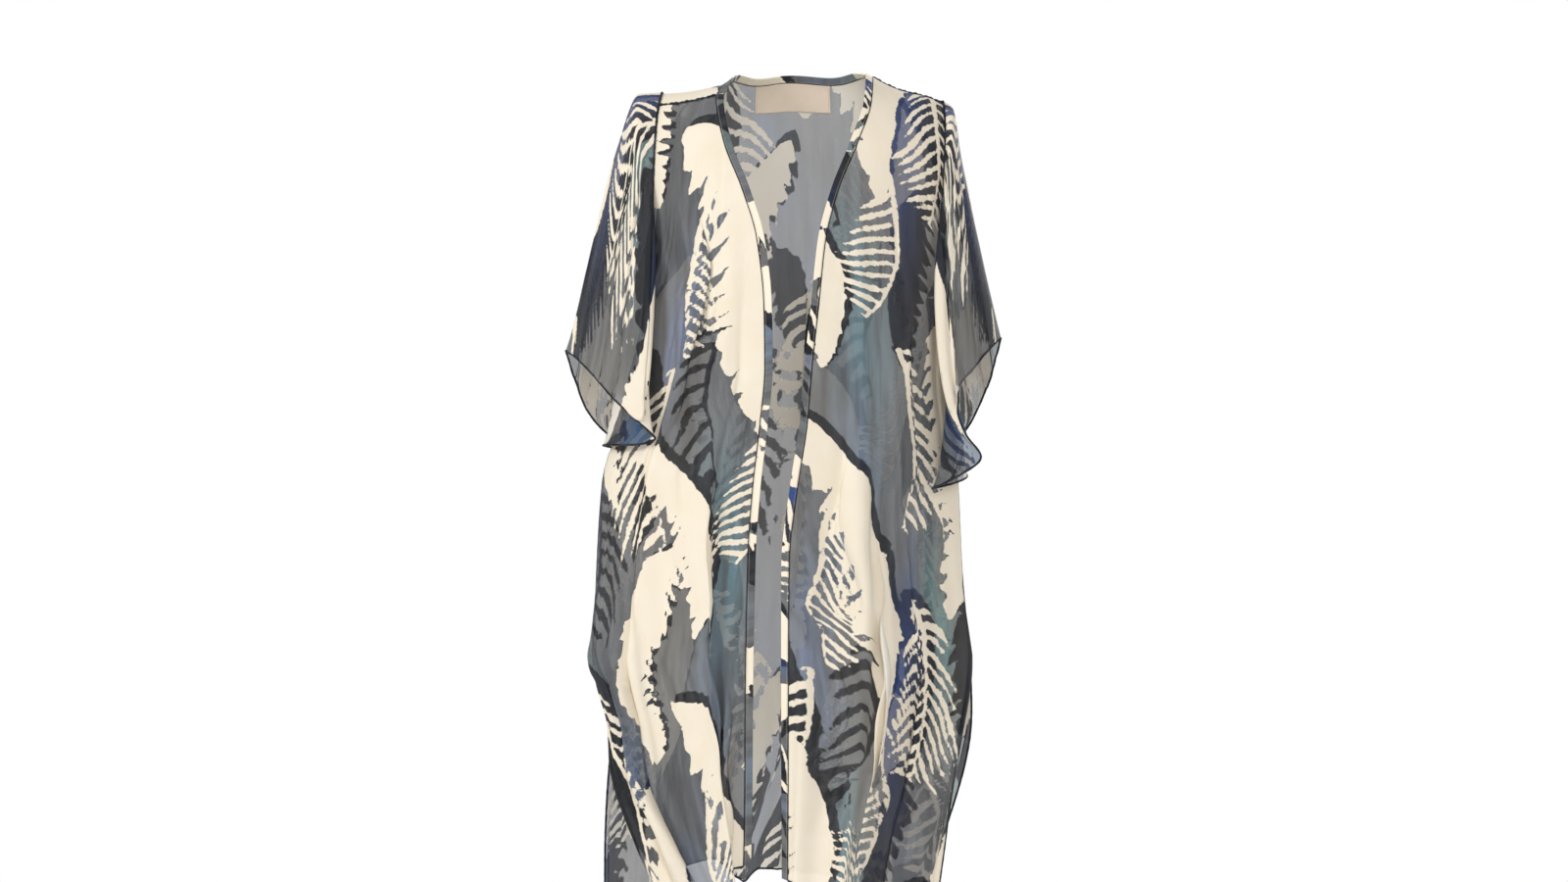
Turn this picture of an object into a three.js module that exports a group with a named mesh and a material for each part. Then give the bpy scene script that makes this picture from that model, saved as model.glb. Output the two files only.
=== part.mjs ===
// A sheer open-front kaftan as it is worn: two fronts, a back, two wide short sleeves, narrow bands
// and a neck label. Millimetres, +Z up, the front faces -Y. The wearer's right side is at -X.
// The origin lies between the neck points, at the height where the shoulders carry the garment.
import * as THREE from "three";

// Cloth and seams
const WALL = 1.4;
const SEAM_GAP = 0.7;
const BAND_WIDTH = 9;
const NECK_BAND_HEIGHT = 11;

// Shoulders: the cloth goes over them in a round of this radius, highest along the ridge
const SHOULDER_ROUND = 88;
const RIDGE = [
  { inward: 0, right: 1, left: -10 },
  { inward: 0.33, right: 2, left: -2 },
  { inward: 0.66, right: 5, left: 5 },
  { inward: 0.85, right: 8, left: 13 },
  { inward: 1, right: 11, left: 22 },
];
const RIDGE_BEHIND_NECK = 50;
const SEAM_FORWARD = { right: 58, left: 15 };

// Armholes: how far round from the side seam they reach, and the heights where they bend and end
const ARMHOLE_ANGLE = { right: 33.5, left: 23 };
const ARMHOLE_FADE = { from: -480, to: -60 };
const SLIT_FADE = { from: 712, to: 1000, share: 0.8 };
const ARMHOLE_BEND = -130;
const BEND_LENGTH = 155;
const UNDERARM = -255;

// Back neckline, in fractions of the back's width, and how far it drops behind the ridge
const NECK_CENTRE = 0.461;
const NECK_HALF = 0.2315;
const NECK_DROP = 69;
const NECK_ANGLE = 61;
const NECK_SQUARENESS = 4;

// Label on the inside of the back
const LABEL = { columns: 8, rows: 2, wall: 1, gap: 0.4 };

// How finely each piece is made. Rows are counted to the armhole's bend, on round it to the underarm,
// and from there to the hem; the sleeve has one column for each of these rows round its armhole
const COLUMNS = { front: 21, back: 36, neckFrom: 8, neckTo: 28 };
const ROWS = { front: 6, back: 8, bend: 5, below: 22, sleeve: 12 };

// Half widths and depths of the hollow body, at each height
const TORSO = [
  { z: 40, right: 186, left: 208, front: 90, back: 86 },
  { z: -40, right: 200, left: 212, front: 100, back: 94 },
  { z: -130, right: 204, left: 208, front: 112, back: 106 },
  { z: -255, right: 203, left: 203, front: 121, back: 108 },
  { z: -350, right: 206, left: 202, front: 120, back: 104 },
  { z: -430, right: 217, left: 206, front: 117, back: 101 },
  { z: -460, right: 231, left: 210, front: 117, back: 101 },
  { z: -495, right: 239, left: 214, front: 117, back: 101 },
  { z: -600, right: 246, left: 219, front: 119, back: 103 },
  { z: -680, right: 249, left: 226, front: 121, back: 105 },
  { z: -712, right: 252, left: 229, front: 122, back: 107 },
  { z: -745, right: 245, left: 231, front: 123, back: 108 },
  { z: -800, right: 232, left: 233, front: 124, back: 110 },
  { z: -870, right: 236, left: 231, front: 126, back: 112 },
  { z: -1060, right: 241, left: 228, front: 128, back: 114 },
];

// Front edges (x of the seam to the band) at each height
const FRONT_EDGE = [
  { z: 20, right: -94, left: 105 },
  { z: -20, right: -92, left: 101 },
  { z: -71, right: -82, left: 84 },
  { z: -131, right: -59, left: 60 },
  { z: -192, right: -41, left: 44 },
  { z: -276, right: -32, left: 35 },
  { z: -350, right: -31, left: 27 },
  { z: -421, right: -37, left: 21 },
  { z: -500, right: -46, left: 9 },
  { z: -590, right: -52, left: -1 },
  { z: -760, right: -54, left: -2 },
  { z: -1060, right: -55, left: -2 },
];

// Side slits: degrees that each free edge lies round from the side, below the side seam's end
const SLIT = [
  { z: -712, frontRight: 0, frontLeft: 0, backRight: 0, backLeft: 0 },
  { z: -760, frontRight: 9, frontLeft: 13, backRight: 7, backLeft: 2 },
  { z: -810, frontRight: 17, frontLeft: 22, backRight: 9, backLeft: 6 },
  { z: -850, frontRight: 23, frontLeft: 26, backRight: 10, backLeft: 12 },
  { z: -900, frontRight: 32, frontLeft: 30, backRight: 8, backLeft: 21 },
  { z: -950, frontRight: 41, frontLeft: 33, backRight: 7, backLeft: 29 },
  { z: -1000, frontRight: 50, frontLeft: 36, backRight: 8, backLeft: 35 },
  { z: -1060, frontRight: 56, frontLeft: 39, backRight: 10, backLeft: 40 },
];

// The free edge of the right front is turned under: width of the turned strip at each height
const TURNED = [
  { z: -730, width: 0 },
  { z: -780, width: 20 },
  { z: -860, width: 32 },
  { z: -930, width: 24 },
  { z: -1000, width: 10 },
  { z: -1060, width: 6 },
];
const TURN_DEPTH = 7;
const TURN_SOFTNESS = 5;
const TURN_REACH = 0.5;

// Hem height across each panel, from its right side (0) to its left side (1)
const HEM = {
  right: [
    { across: 0, z: -1022 },
    { across: 0.15, z: -1040 },
    { across: 0.4, z: -1046 },
    { across: 0.62, z: -1036 },
    { across: 0.78, z: -1004 },
    { across: 0.88, z: -968 },
    { across: 1, z: -962 },
  ],
  left: [
    { across: 0, z: -1034 },
    { across: 0.2, z: -1043 },
    { across: 0.45, z: -1040 },
    { across: 0.6, z: -1022 },
    { across: 0.75, z: -1000 },
    { across: 0.87, z: -985 },
    { across: 1, z: -979 },
  ],
  back: [
    { across: 0, z: -1040 },
    { across: 0.18, z: -1036 },
    { across: 0.32, z: -1010 },
    { across: 0.4, z: -992 },
    { across: 0.44, z: -1020 },
    { across: 0.47, z: -1024 },
    { across: 0.51, z: -1006 },
    { across: 0.62, z: -1012 },
    { across: 0.8, z: -1036 },
    { across: 1, z: -1042 },
  ],
};

// Folds that hang in each panel: where they lie across it at the top and at the hem, the height where
// they begin, how far they stand out, how far they lean over towards the next column, and how wide
const FOLDS = {
  right: [
    { top: 0.8, foot: 0.72, from: -60, out: 6, lean: 3, width: 15 },
    { top: 0.63, foot: 0.52, from: -190, out: 12, lean: -12, width: 14 },
    { top: 0.82, foot: 0.82, from: -380, out: 13, lean: 11, width: 13 },
    { top: 0.42, foot: 0.36, from: -460, out: 13, lean: 9, width: 16 },
    { top: 0.95, foot: 0.93, from: -560, out: 9, lean: -8, width: 10 },
    { top: 0.2, foot: 0.2, from: -500, out: 10, lean: -8, width: 17 },
  ],
  left: [
    { top: 0.82, foot: 0.7, from: -70, out: 6, lean: -3, width: 15 },
    { top: 0.58, foot: 0.42, from: -210, out: 16, lean: 16, width: 16 },
    { top: 0.77, foot: 0.79, from: -350, out: 13, lean: -12, width: 13 },
    { top: 0.68, foot: 0.62, from: -480, out: 12, lean: 11, width: 13 },
    { top: 0.93, foot: 0.93, from: -480, out: 9, lean: 8, width: 11 },
    { top: 0.2, foot: 0.22, from: -500, out: 11, lean: -8, width: 17 },
  ],
  back: [
    { top: 0.3, foot: 0.28, from: -110, out: 9, lean: 5, width: 18 },
    { top: 0.7, foot: 0.72, from: -110, out: 9, lean: -5, width: 18 },
    { top: 0.5, foot: 0.44, from: -190, out: 15, lean: 14, width: 15 },
    { top: 0.58, foot: 0.58, from: -300, out: 11, lean: -10, width: 14 },
    { top: 0.4, foot: 0.34, from: -330, out: 12, lean: -11, width: 14 },
    { top: 0.64, foot: 0.66, from: -420, out: 11, lean: 9, width: 14 },
    { top: 0.2, foot: 0.19, from: -480, out: 11, lean: 8, width: 17 },
    { top: 0.8, foot: 0.82, from: -480, out: 11, lean: -8, width: 17 },
    { top: 0.09, foot: 0.09, from: -520, out: 8, lean: -5, width: 16 },
    { top: 0.91, foot: 0.91, from: -520, out: 8, lean: 5, width: 16 },
  ],
};
const FOLD_GROWTH = 260;
// Folds die out over this share of a panel at its side seams
const FOLD_CALM = { front: 0.12, back: 0.06 };
// How quickly the armholes' and slits' pull on the cloth fades towards the middle of a panel
const EDGE_PULL = { front: 3, back: 6 };
// Width of the back along its curve, as a share of a half turn at its middle's radius
const BACK_SPREAD = 0.85;

// Sleeves: rings from the armhole (down 0) to the hem (down 1). outX and outZ are the outer fold,
// tipX, tipY and tipZ the front and back folds next to the body, inX and inZ the wall under the arm
const SLEEVES = {
  right: [
    { down: 0, outX: 163, outZ: 2, tipX: 171, tipY: 64, tipZ: -130, inX: 204, inZ: -255 },
    { down: 0.09, outX: 193, outZ: 0, tipX: 170, tipY: 70, tipZ: -150, inX: 208, inZ: -266 },
    { down: 0.17, outX: 206, outZ: -24, tipX: 168, tipY: 76, tipZ: -175, inX: 210, inZ: -275 },
    { down: 0.25, outX: 213, outZ: -52, tipX: 167, tipY: 80, tipZ: -197, inX: 211, inZ: -285 },
    { down: 0.4, outX: 229, outZ: -110, tipX: 166, tipY: 86, tipZ: -240, inX: 213, inZ: -310 },
    { down: 0.6, outX: 246, outZ: -185, tipX: 166, tipY: 89, tipZ: -305, inX: 216, inZ: -350 },
    { down: 0.8, outX: 262, outZ: -255, tipX: 167, tipY: 91, tipZ: -370, inX: 221, inZ: -400 },
    { down: 1, outX: 284, outZ: -325, tipX: 168, tipY: 93, tipZ: -435, inX: 237, inZ: -448 },
  ],
  left: [
    { down: 0, outX: 193, outZ: -11, tipX: 192, tipY: 46, tipZ: -130, inX: 204, inZ: -255 },
    { down: 0.09, outX: 205, outZ: -18, tipX: 188, tipY: 58, tipZ: -153, inX: 207, inZ: -268 },
    { down: 0.17, outX: 211, outZ: -40, tipX: 185, tipY: 66, tipZ: -180, inX: 208, inZ: -280 },
    { down: 0.25, outX: 215, outZ: -64, tipX: 182, tipY: 73, tipZ: -205, inX: 208, inZ: -292 },
    { down: 0.4, outX: 225, outZ: -112, tipX: 178, tipY: 81, tipZ: -255, inX: 209, inZ: -325 },
    { down: 0.6, outX: 239, outZ: -182, tipX: 174, tipY: 87, tipZ: -325, inX: 211, inZ: -370 },
    { down: 0.8, outX: 254, outZ: -248, tipX: 171, tipY: 90, tipZ: -400, inX: 217, inZ: -425 },
    { down: 1, outX: 269, outZ: -310, tipX: 168, tipY: 92, tipZ: -475, inX: 224, inZ: -482 },
  ],
};
// The sleeve's first ring lies this far off the panels, and points up on the shoulder
const SLEEVE_LIFT_OFF = 1.9;
const SHOULDER_UP = 2;
const SLEEVE_BULGE = 0.8;
// Shares of a sleeve's length where its armhole shape is lost and where its hem shape sets in
const SLEEVE_HEAD = 0.35;
const SLEEVE_FOOT = { from: 0.25, power: 1.4 };

// Sleeve hems: one row for each bend of the hem, by degrees round from the outer fold, front first
const SLEEVE_HEM = {
  right: [
    { turn: 0, x: 286, y: 0, z: -326 },
    { turn: 20, x: 274, y: -28, z: -333 },
    { turn: 45, x: 246, y: -62, z: -359 },
    { turn: 70, x: 217, y: -84, z: -391 },
    { turn: 90, x: 185, y: -93, z: -420 },
    { turn: 106, x: 167, y: -90, z: -438 },
    { turn: 130, x: 196, y: -76, z: -446 },
    { turn: 155, x: 227, y: -44, z: -446 },
    { turn: 180, x: 238, y: 0, z: -447 },
    { turn: 205, x: 229, y: 44, z: -450 },
    { turn: 230, x: 196, y: 76, z: -456 },
    { turn: 252, x: 168, y: 90, z: -460 },
    { turn: 272, x: 200, y: 94, z: -452 },
    { turn: 290, x: 241, y: 82, z: -430 },
    { turn: 312, x: 262, y: 58, z: -403 },
    { turn: 332, x: 273, y: 34, z: -375 },
    { turn: 347, x: 280, y: 14, z: -347 },
    { turn: 360, x: 286, y: 0, z: -326 },
  ],
  left: [
    { turn: 0, x: 269, y: 0, z: -310 },
    { turn: 20, x: 257, y: -28, z: -320 },
    { turn: 45, x: 232, y: -62, z: -347 },
    { turn: 68, x: 209, y: -86, z: -378 },
    { turn: 84, x: 207, y: -99, z: -404 },
    { turn: 97, x: 216, y: -103, z: -432 },
    { turn: 110, x: 236, y: -97, z: -461 },
    { turn: 123, x: 211, y: -91, z: -483 },
    { turn: 138, x: 176, y: -88, z: -500 },
    { turn: 160, x: 205, y: -62, z: -494 },
    { turn: 183, x: 226, y: 0, z: -485 },
    { turn: 208, x: 208, y: 58, z: -472 },
    { turn: 235, x: 172, y: 88, z: -462 },
    { turn: 260, x: 200, y: 95, z: -450 },
    { turn: 285, x: 229, y: 85, z: -429 },
    { turn: 310, x: 251, y: 58, z: -384 },
    { turn: 335, x: 260, y: 30, z: -353 },
    { turn: 348, x: 265, y: 12, z: -331 },
    { turn: 360, x: 269, y: 0, z: -310 },
  ],
};

const COLOURS = { cloth: 0x8b8d8e, cream: 0xefe3cd, label: 0xd6c0a8 };

// A small step over a panel, to find its slopes
const SMALL = 0.006;

const rad = THREE.MathUtils.degToRad;
const mix = THREE.MathUtils.lerp;
const smooth = THREE.MathUtils.smoothstep;
const V = (x, y, z) => new THREE.Vector3(x, y, z);

// One column of a table, read smoothly between its rows and without overshoot.
function read(rows, key, column, value) {
  const rising = rows.at(-1)[key] > rows[0][key];
  const sorted = rising ? rows : [...rows].reverse();
  const keys = sorted.map((row) => row[key]);
  const values = sorted.map((row) => row[column]);
  if (value <= keys[0]) return values[0];
  if (value >= keys.at(-1)) return values.at(-1);
  const i = keys.findIndex((k) => k > value) - 1;
  const rate = (j) => (values[j + 1] - values[j]) / (keys[j + 1] - keys[j]);
  const slope = (j) => {
    if (j === 0 || j === keys.length - 1) return rate(Math.min(j, keys.length - 2));
    const before = rate(j - 1);
    const after = rate(j);
    return before * after <= 0 ? 0 : (2 * before * after) / (before + after);
  };
  const h = keys[i + 1] - keys[i];
  const t = (value - keys[i]) / h;
  const u = 1 - t;
  return (
    values[i] * (1 + 2 * t) * u * u +
    values[i + 1] * (3 - 2 * t) * t * t +
    h * (slope(i) * t * u * u - slope(i + 1) * t * t * u)
  );
}

// How far round from the side seam the armhole or the slit has taken a panel's edge, at a height.
function sideAngle(side, panel, z) {
  const armhole = rad(ARMHOLE_ANGLE[side]);
  if (z >= ARMHOLE_BEND) return armhole;
  if (z > UNDERARM) {
    const share = (ARMHOLE_BEND - z) / (ARMHOLE_BEND - UNDERARM);
    return armhole * Math.sqrt(1 - share * share);
  }
  return z < SLIT[0].z ? rad(read(SLIT, "z", panel, z)) : 0;
}

// The same, faded out slowly down the side: the columns inside a panel follow this gentler line.
function gentleAngle(side, panel, z) {
  const { from, to, share } = SLIT_FADE;
  if (z < SLIT[0].z) return sideAngle(side, panel, z) * share * smooth(-z, from, to);
  return rad(ARMHOLE_ANGLE[side]) * smooth(z, ARMHOLE_FADE.from, ARMHOLE_FADE.to);
}

// Height of the armhole's edge on its bend, from 0 where the bend begins to 1 at the underarm.
function bendHeight(share) {
  return mix(ARMHOLE_BEND, UNDERARM, Math.sin((share * Math.PI) / 2));
}

// Drop and reach of the cloth at an arc length over the shoulder, 0 on the ridge.
function overShoulder(length) {
  const quarter = (SHOULDER_ROUND * Math.PI) / 2;
  if (length >= quarter) return { drop: SHOULDER_ROUND + length - quarter, reach: 1 };
  const angle = length / SHOULDER_ROUND;
  return { drop: SHOULDER_ROUND * (1 - Math.cos(angle)), reach: Math.sin(angle) };
}

// The arc length from the ridge down to a height.
function lengthTo(z, ridge) {
  return (SHOULDER_ROUND * Math.PI) / 2 + ridge - SHOULDER_ROUND - z;
}

// Arc length down a panel at a share of its rows: even to the bend, closer round it, then to the hem.
function lengthDown(rows, down, start, ridge, foot) {
  const row = down * (rows + ROWS.bend + ROWS.below);
  if (row <= rows) return mix(start, lengthTo(ARMHOLE_BEND, ridge), row / rows);
  const share = (row - rows) / ROWS.bend;
  if (share <= 1) return lengthTo(bendHeight(share), ridge);
  return mix(lengthTo(UNDERARM, ridge), lengthTo(foot, ridge), (row - rows - ROWS.bend) / ROWS.below);
}

// A point of the body's surface. turn runs from 0 at the wearer's right side to pi at the left,
// length is the arc from the ridge, below 0 on the other face.
function bodyPoint(face, turn, length, ridge) {
  const { drop, reach } = overShoulder(Math.abs(length));
  const z = ridge - drop;
  const near = length < 0 ? { front: "back", back: "front" }[face] : face;
  const half = read(TORSO, "z", Math.cos(turn) > 0 ? "right" : "left", z);
  const depth = read(TORSO, "z", near, z) * Math.sin(turn) * reach;
  return V(-half * Math.cos(turn), near === "front" ? -depth : depth, z);
}

// Arc length for each radian of turn, near a turn and height.
function speed(face, turn, z) {
  const half = read(TORSO, "z", Math.cos(turn) > 0 ? "right" : "left", z);
  const depth = read(TORSO, "z", face, z);
  return Math.hypot(half * Math.sin(turn), depth * Math.cos(turn));
}

// Arc length from the ridge forward to a shoulder seam.
function seamLength(side) {
  return SHOULDER_ROUND * Math.asin(SEAM_FORWARD[side] / read(TORSO, "z", "front", 0));
}

// Half of a shoulder seam's gap as such an arc, longer where the shoulder is thin front to back.
function seamGap(side, inward) {
  const turn = rad(mix(ARMHOLE_ANGLE[side], NECK_ANGLE, inward));
  return SEAM_GAP / 2 / ((read(TORSO, "z", "front", 0) / SHOULDER_ROUND) * Math.sin(turn));
}

// The level direction out of the body at a point of its side.
function outwardAt(point) {
  const half = read(TORSO, "z", point.x < 0 ? "right" : "left", point.z);
  const depth = read(TORSO, "z", point.y < 0 ? "front" : "back", point.z);
  return V(point.x / half ** 2, point.y / depth ** 2, 0).normalize();
}

// Moves a point by the folds of its panel: each fold is a ridge that stands out and leans over.
function foldShift(folds, across, z, foot) {
  const shift = { out: 0, along: 0 };
  for (const fold of folds) {
    const down = smooth(fold.from - z, 0, FOLD_GROWTH);
    const place = mix(fold.top, fold.foot, smooth(-z, -fold.from, -foot));
    const away = (across.at - place) * across.width;
    const size = down * Math.exp(-((away / fold.width) ** 2));
    shift.out += size * fold.out;
    shift.along += size * fold.lean;
  }
  return shift;
}

// The right or left front. across is 0 at the side and 1 at the front edge.
function frontPoint(side, inside, down) {
  const sign = side === "right" ? 1 : -1;
  const panel = side === "right" ? "frontRight" : "frontLeft";
  const ridge = read(RIDGE, "inward", side, inside);
  const foot = read(HEM[side], "across", "z", inside);
  const start = seamLength(side) + seamGap(side, inside);
  const length = lengthDown(ROWS.front, down, start, ridge, foot);
  const z = ridge - overShoulder(length).drop;
  const edge = read(FRONT_EDGE, "z", side, z);
  const half = read(TORSO, "z", sign * edge < 0 ? side : side === "right" ? "left" : "right", z);
  const gap = SEAM_GAP / 2 / read(TORSO, "z", "front", z);
  const side0 = sideAngle(side, panel, z) + gap;
  const first = gentleAngle(side, panel, z) + gap;
  const last = Math.acos((-sign * edge) / half);
  const width = (last - first) * speed("front", (first + last) / 2, z);
  let turn = mix(first, last, inside) + (side0 - first) * (1 - inside) ** EDGE_PULL.front;

  const turned = side === "right" ? read(TURNED, "z", "width", z) : 0;
  const share = smooth(turned, 0, TURN_DEPTH);
  const fromTurn = mix(-turned, width, inside);
  const rounded = Math.hypot(fromTurn, TURN_SOFTNESS) - TURN_SOFTNESS;
  const doubled = side0 + rounded / speed("front", side0, z);
  turn = mix(turn, mix(doubled, turn, smooth(inside, 0, TURN_REACH)), share);
  const under = share * TURN_DEPTH * (1 - smooth(fromTurn, -TURN_SOFTNESS, TURN_SOFTNESS));

  const folds = foldShift(FOLDS[side], { at: inside, width }, z, foot);
  const calm = smooth(inside, 0, FOLD_CALM.front);
  turn += (folds.along * calm) / speed("front", turn, z);
  const point = bodyPoint("front", side === "right" ? turn : Math.PI - turn, length, ridge);
  return point.addScaledVector(outwardAt(point), folds.out * calm - under);
}

// Where the back's top edge lies at a place across: forward shoulder seams and the neckline.
function backTop(across) {
  const off = Math.abs(across - NECK_CENTRE) / NECK_HALF;
  const side = across < NECK_CENTRE ? "right" : "left";
  if (off < 1) {
    const seam = seamLength(side) - seamGap(side, 1);
    const rise = mix(off * off, smooth(off, 0, 1), off ** NECK_SQUARENESS);
    const ridge = mix(RIDGE_BEHIND_NECK, RIDGE.at(-1)[side], rise);
    return { start: mix(NECK_DROP, -seam, off ** NECK_SQUARENESS), ridge };
  }
  const outer = side === "right" ? across / (NECK_CENTRE - NECK_HALF) : 0;
  const inward = side === "left" ? (1 - across) / (1 - NECK_CENTRE - NECK_HALF) : outer;
  const start = seamGap(side, inward) - seamLength(side);
  return { start, ridge: read(RIDGE, "inward", side, inward) };
}

// Where a column of the back lies across it: closer together round the neckline, even lower down.
function backAcross(u, v) {
  const column = u * COLUMNS.back;
  const { neckFrom, neckTo } = COLUMNS;
  const neck = { from: NECK_CENTRE - NECK_HALF, to: NECK_CENTRE + NECK_HALF };
  let top = mix(neck.to, 1, (column - neckTo) / (COLUMNS.back - neckTo));
  if (column < neckFrom) top = (neck.from * column) / neckFrom;
  else if (column < neckTo) {
    const t = (2 * (column - neckFrom)) / (neckTo - neckFrom) - 1;
    top = NECK_CENTRE + NECK_HALF * mix(t, Math.sin((t * Math.PI) / 2), 0.5);
  }
  return mix(top, u, smooth(v * (ROWS.back + ROWS.bend + ROWS.below), 0, ROWS.back + ROWS.bend));
}

// The back. u is 0 at the wearer's right side and 1 at the left, down runs from its top to the hem.
function backPoint(u, down) {
  const across = backAcross(u, down);
  const { start, ridge } = backTop(across);
  const foot = read(HEM.back, "across", "z", across);
  const length = lengthDown(ROWS.back, down, start, ridge, foot);
  const z = ridge - overShoulder(Math.abs(length)).drop;
  const gap = SEAM_GAP / 2 / read(TORSO, "z", "back", z);
  const first = gentleAngle("right", "backRight", z) + gap;
  const last = Math.PI - gentleAngle("left", "backLeft", z) - gap;
  const pull = sideAngle("right", "backRight", z) + gap - first;
  const leftPull = Math.PI - sideAngle("left", "backLeft", z) - gap - last;
  let turn = mix(first, last, across);
  turn += pull * (1 - across) ** EDGE_PULL.back + leftPull * across ** EDGE_PULL.back;
  const width = (last - first) * BACK_SPREAD * speed("back", Math.PI / 2, z);
  const folds = foldShift(FOLDS.back, { at: across, width }, z, foot);
  const calm = smooth(across, 0, FOLD_CALM.back) * smooth(1 - across, 0, FOLD_CALM.back);
  turn += (folds.along * calm) / speed("back", turn, z);
  const point = bodyPoint("back", turn, length, ridge);
  return point.addScaledVector(outwardAt(point), folds.out * calm);
}

// Half the way round an armhole: from the ridge down to the bend, and round it to the underarm.
function armholeWay(side) {
  const ridge = RIDGE[0][side];
  const toBend = lengthTo(ARMHOLE_BEND, ridge);
  return { ridge, toBend, half: toBend + BEND_LENGTH };
}

// The way round an armhole at each column of a sleeve: from the shoulder seam down the front, under
// the arm and up the back to the seam again, in step with the rows of the panels.
function wayRound(side, around) {
  const start = seamLength(side);
  const { toBend, half } = armholeWay(side);
  const row = around * (ROWS.front + 2 * ROWS.bend + ROWS.back);
  const bend = row - ROWS.front;
  if (bend <= 0) return mix(start, toBend, row / ROWS.front);
  if (bend <= 2 * ROWS.bend) return toBend + (BEND_LENGTH * bend) / ROWS.bend;
  return mix(toBend + 2 * BEND_LENGTH, 2 * half + start, (bend - 2 * ROWS.bend) / ROWS.back);
}

// The seam round an armhole, at a way round it that is 0 on the ridge.
function armholePoint(side, way) {
  const { ridge, toBend, half } = armholeWay(side);
  const round = way <= half ? way : 2 * half - way;
  const share = Math.max((round - toBend) / BEND_LENGTH, 0);
  const length = share > 0 ? lengthTo(bendHeight(share), ridge) : round;
  const turn = rad(ARMHOLE_ANGLE[side]) * Math.cos((share * Math.PI) / 2);
  const face = way <= half ? "front" : "back";
  const point = bodyPoint(face, side === "right" ? turn : Math.PI - turn, length, ridge);
  const up = Math.cos(Math.min(Math.abs(length) / SHOULDER_ROUND, Math.PI / 2));
  const outward = outwardAt(point).add(V(0, 0, SHOULDER_UP * up));
  return point.addScaledVector(outward.normalize(), SLEEVE_LIFT_OFF);
}

// The ring of a sleeve at a share of its length: a crescent that hugs the side of the body.
function sleeveRing(side, angle, down) {
  const row = (column) => read(SLEEVES[side], "down", column, down);
  const c = Math.cos(angle);
  const reach = Math.abs(c) ** SLEEVE_BULGE;
  const x = mix(row("tipX"), c > 0 ? row("outX") : row("inX"), reach);
  const z = mix(row("tipZ"), c > 0 ? row("outZ") : row("inZ"), Math.abs(c));
  return V(x, -row("tipY") * Math.sin(angle), z);
}

// A sleeve. around runs from the shoulder seam by the front, down from the armhole to the hem.
function sleevePoint(side, around, down) {
  const way = wayRound(side, around);
  const { half } = armholeWay(side);
  const angle = (way / half) * Math.PI;
  const turn = ((way / half) * 180) % 360;
  const point = sleeveRing(side, angle, down);
  const hem = V(...["x", "y", "z"].map((axis) => read(SLEEVE_HEM[side], "turn", axis, turn)));
  point.lerp(hem, smooth(down, SLEEVE_FOOT.from, 1) ** SLEEVE_FOOT.power);
  const top = sleeveRing(side, angle, 0);
  if (side === "right") {
    point.x = -point.x;
    top.x = -top.x;
  }
  const offset = armholePoint(side, way).sub(top);
  return point.addScaledVector(offset, 1 - smooth(down, 0, SLEEVE_HEAD));
}

// The band that continues a front past its edge, in line with the panel's last column. past is 0 at
// the seam and 1 at the band's edge.
function frontBandPoint(side, past, down) {
  const edge = frontPoint(side, 1, down);
  const before = frontPoint(side, 1 - 1 / COLUMNS.front, down);
  const along = edge.clone().sub(before).normalize();
  return edge.addScaledVector(along, SEAM_GAP + past * BAND_WIDTH);
}

// The band round the back of the neck continues the back past its top edge, column by column.
function neckBandPoint(across, past) {
  const { neckFrom, neckTo } = COLUMNS;
  const column = mix(neckFrom, neckTo, across);
  const at = (c) => backPoint(c / COLUMNS.back, 0);
  const edge = at(column);
  const before = edge.clone().sub(at(column - 1)).normalize();
  const after = at(column + 1).sub(edge).normalize();
  const tangent = before.clone().add(after).normalize();
  const away = edge.clone().sub(backPoint(column / COLUMNS.back, SMALL));
  away.addScaledVector(tangent, -away.dot(tangent)).normalize();
  // at its ends the band lies in line with the shoulder seams
  if (column <= neckFrom) away.copy(before);
  if (column >= neckTo) away.copy(after).negate();
  return edge.addScaledVector(away, SEAM_GAP + past * NECK_BAND_HEIGHT);
}

// The label is made from the back's own grid points, moved to the inside, just under the neck band.
function labelPoint(across, down) {
  const rows = ROWS.back + ROWS.bend + ROWS.below;
  const first = (COLUMNS.neckFrom + COLUMNS.neckTo - LABEL.columns) / 2;
  const u = (first + across * LABEL.columns) / COLUMNS.back;
  const v = (down * LABEL.rows) / rows;
  const along = backPoint(u + SMALL, v).sub(backPoint(u - SMALL, v));
  const inside = backPoint(u, v + SMALL).sub(backPoint(u, v)).cross(along).normalize();
  const depth = WALL / 2 + LABEL.wall / 2 + LABEL.gap;
  return backPoint(u, v).addScaledVector(inside, depth);
}

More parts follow.
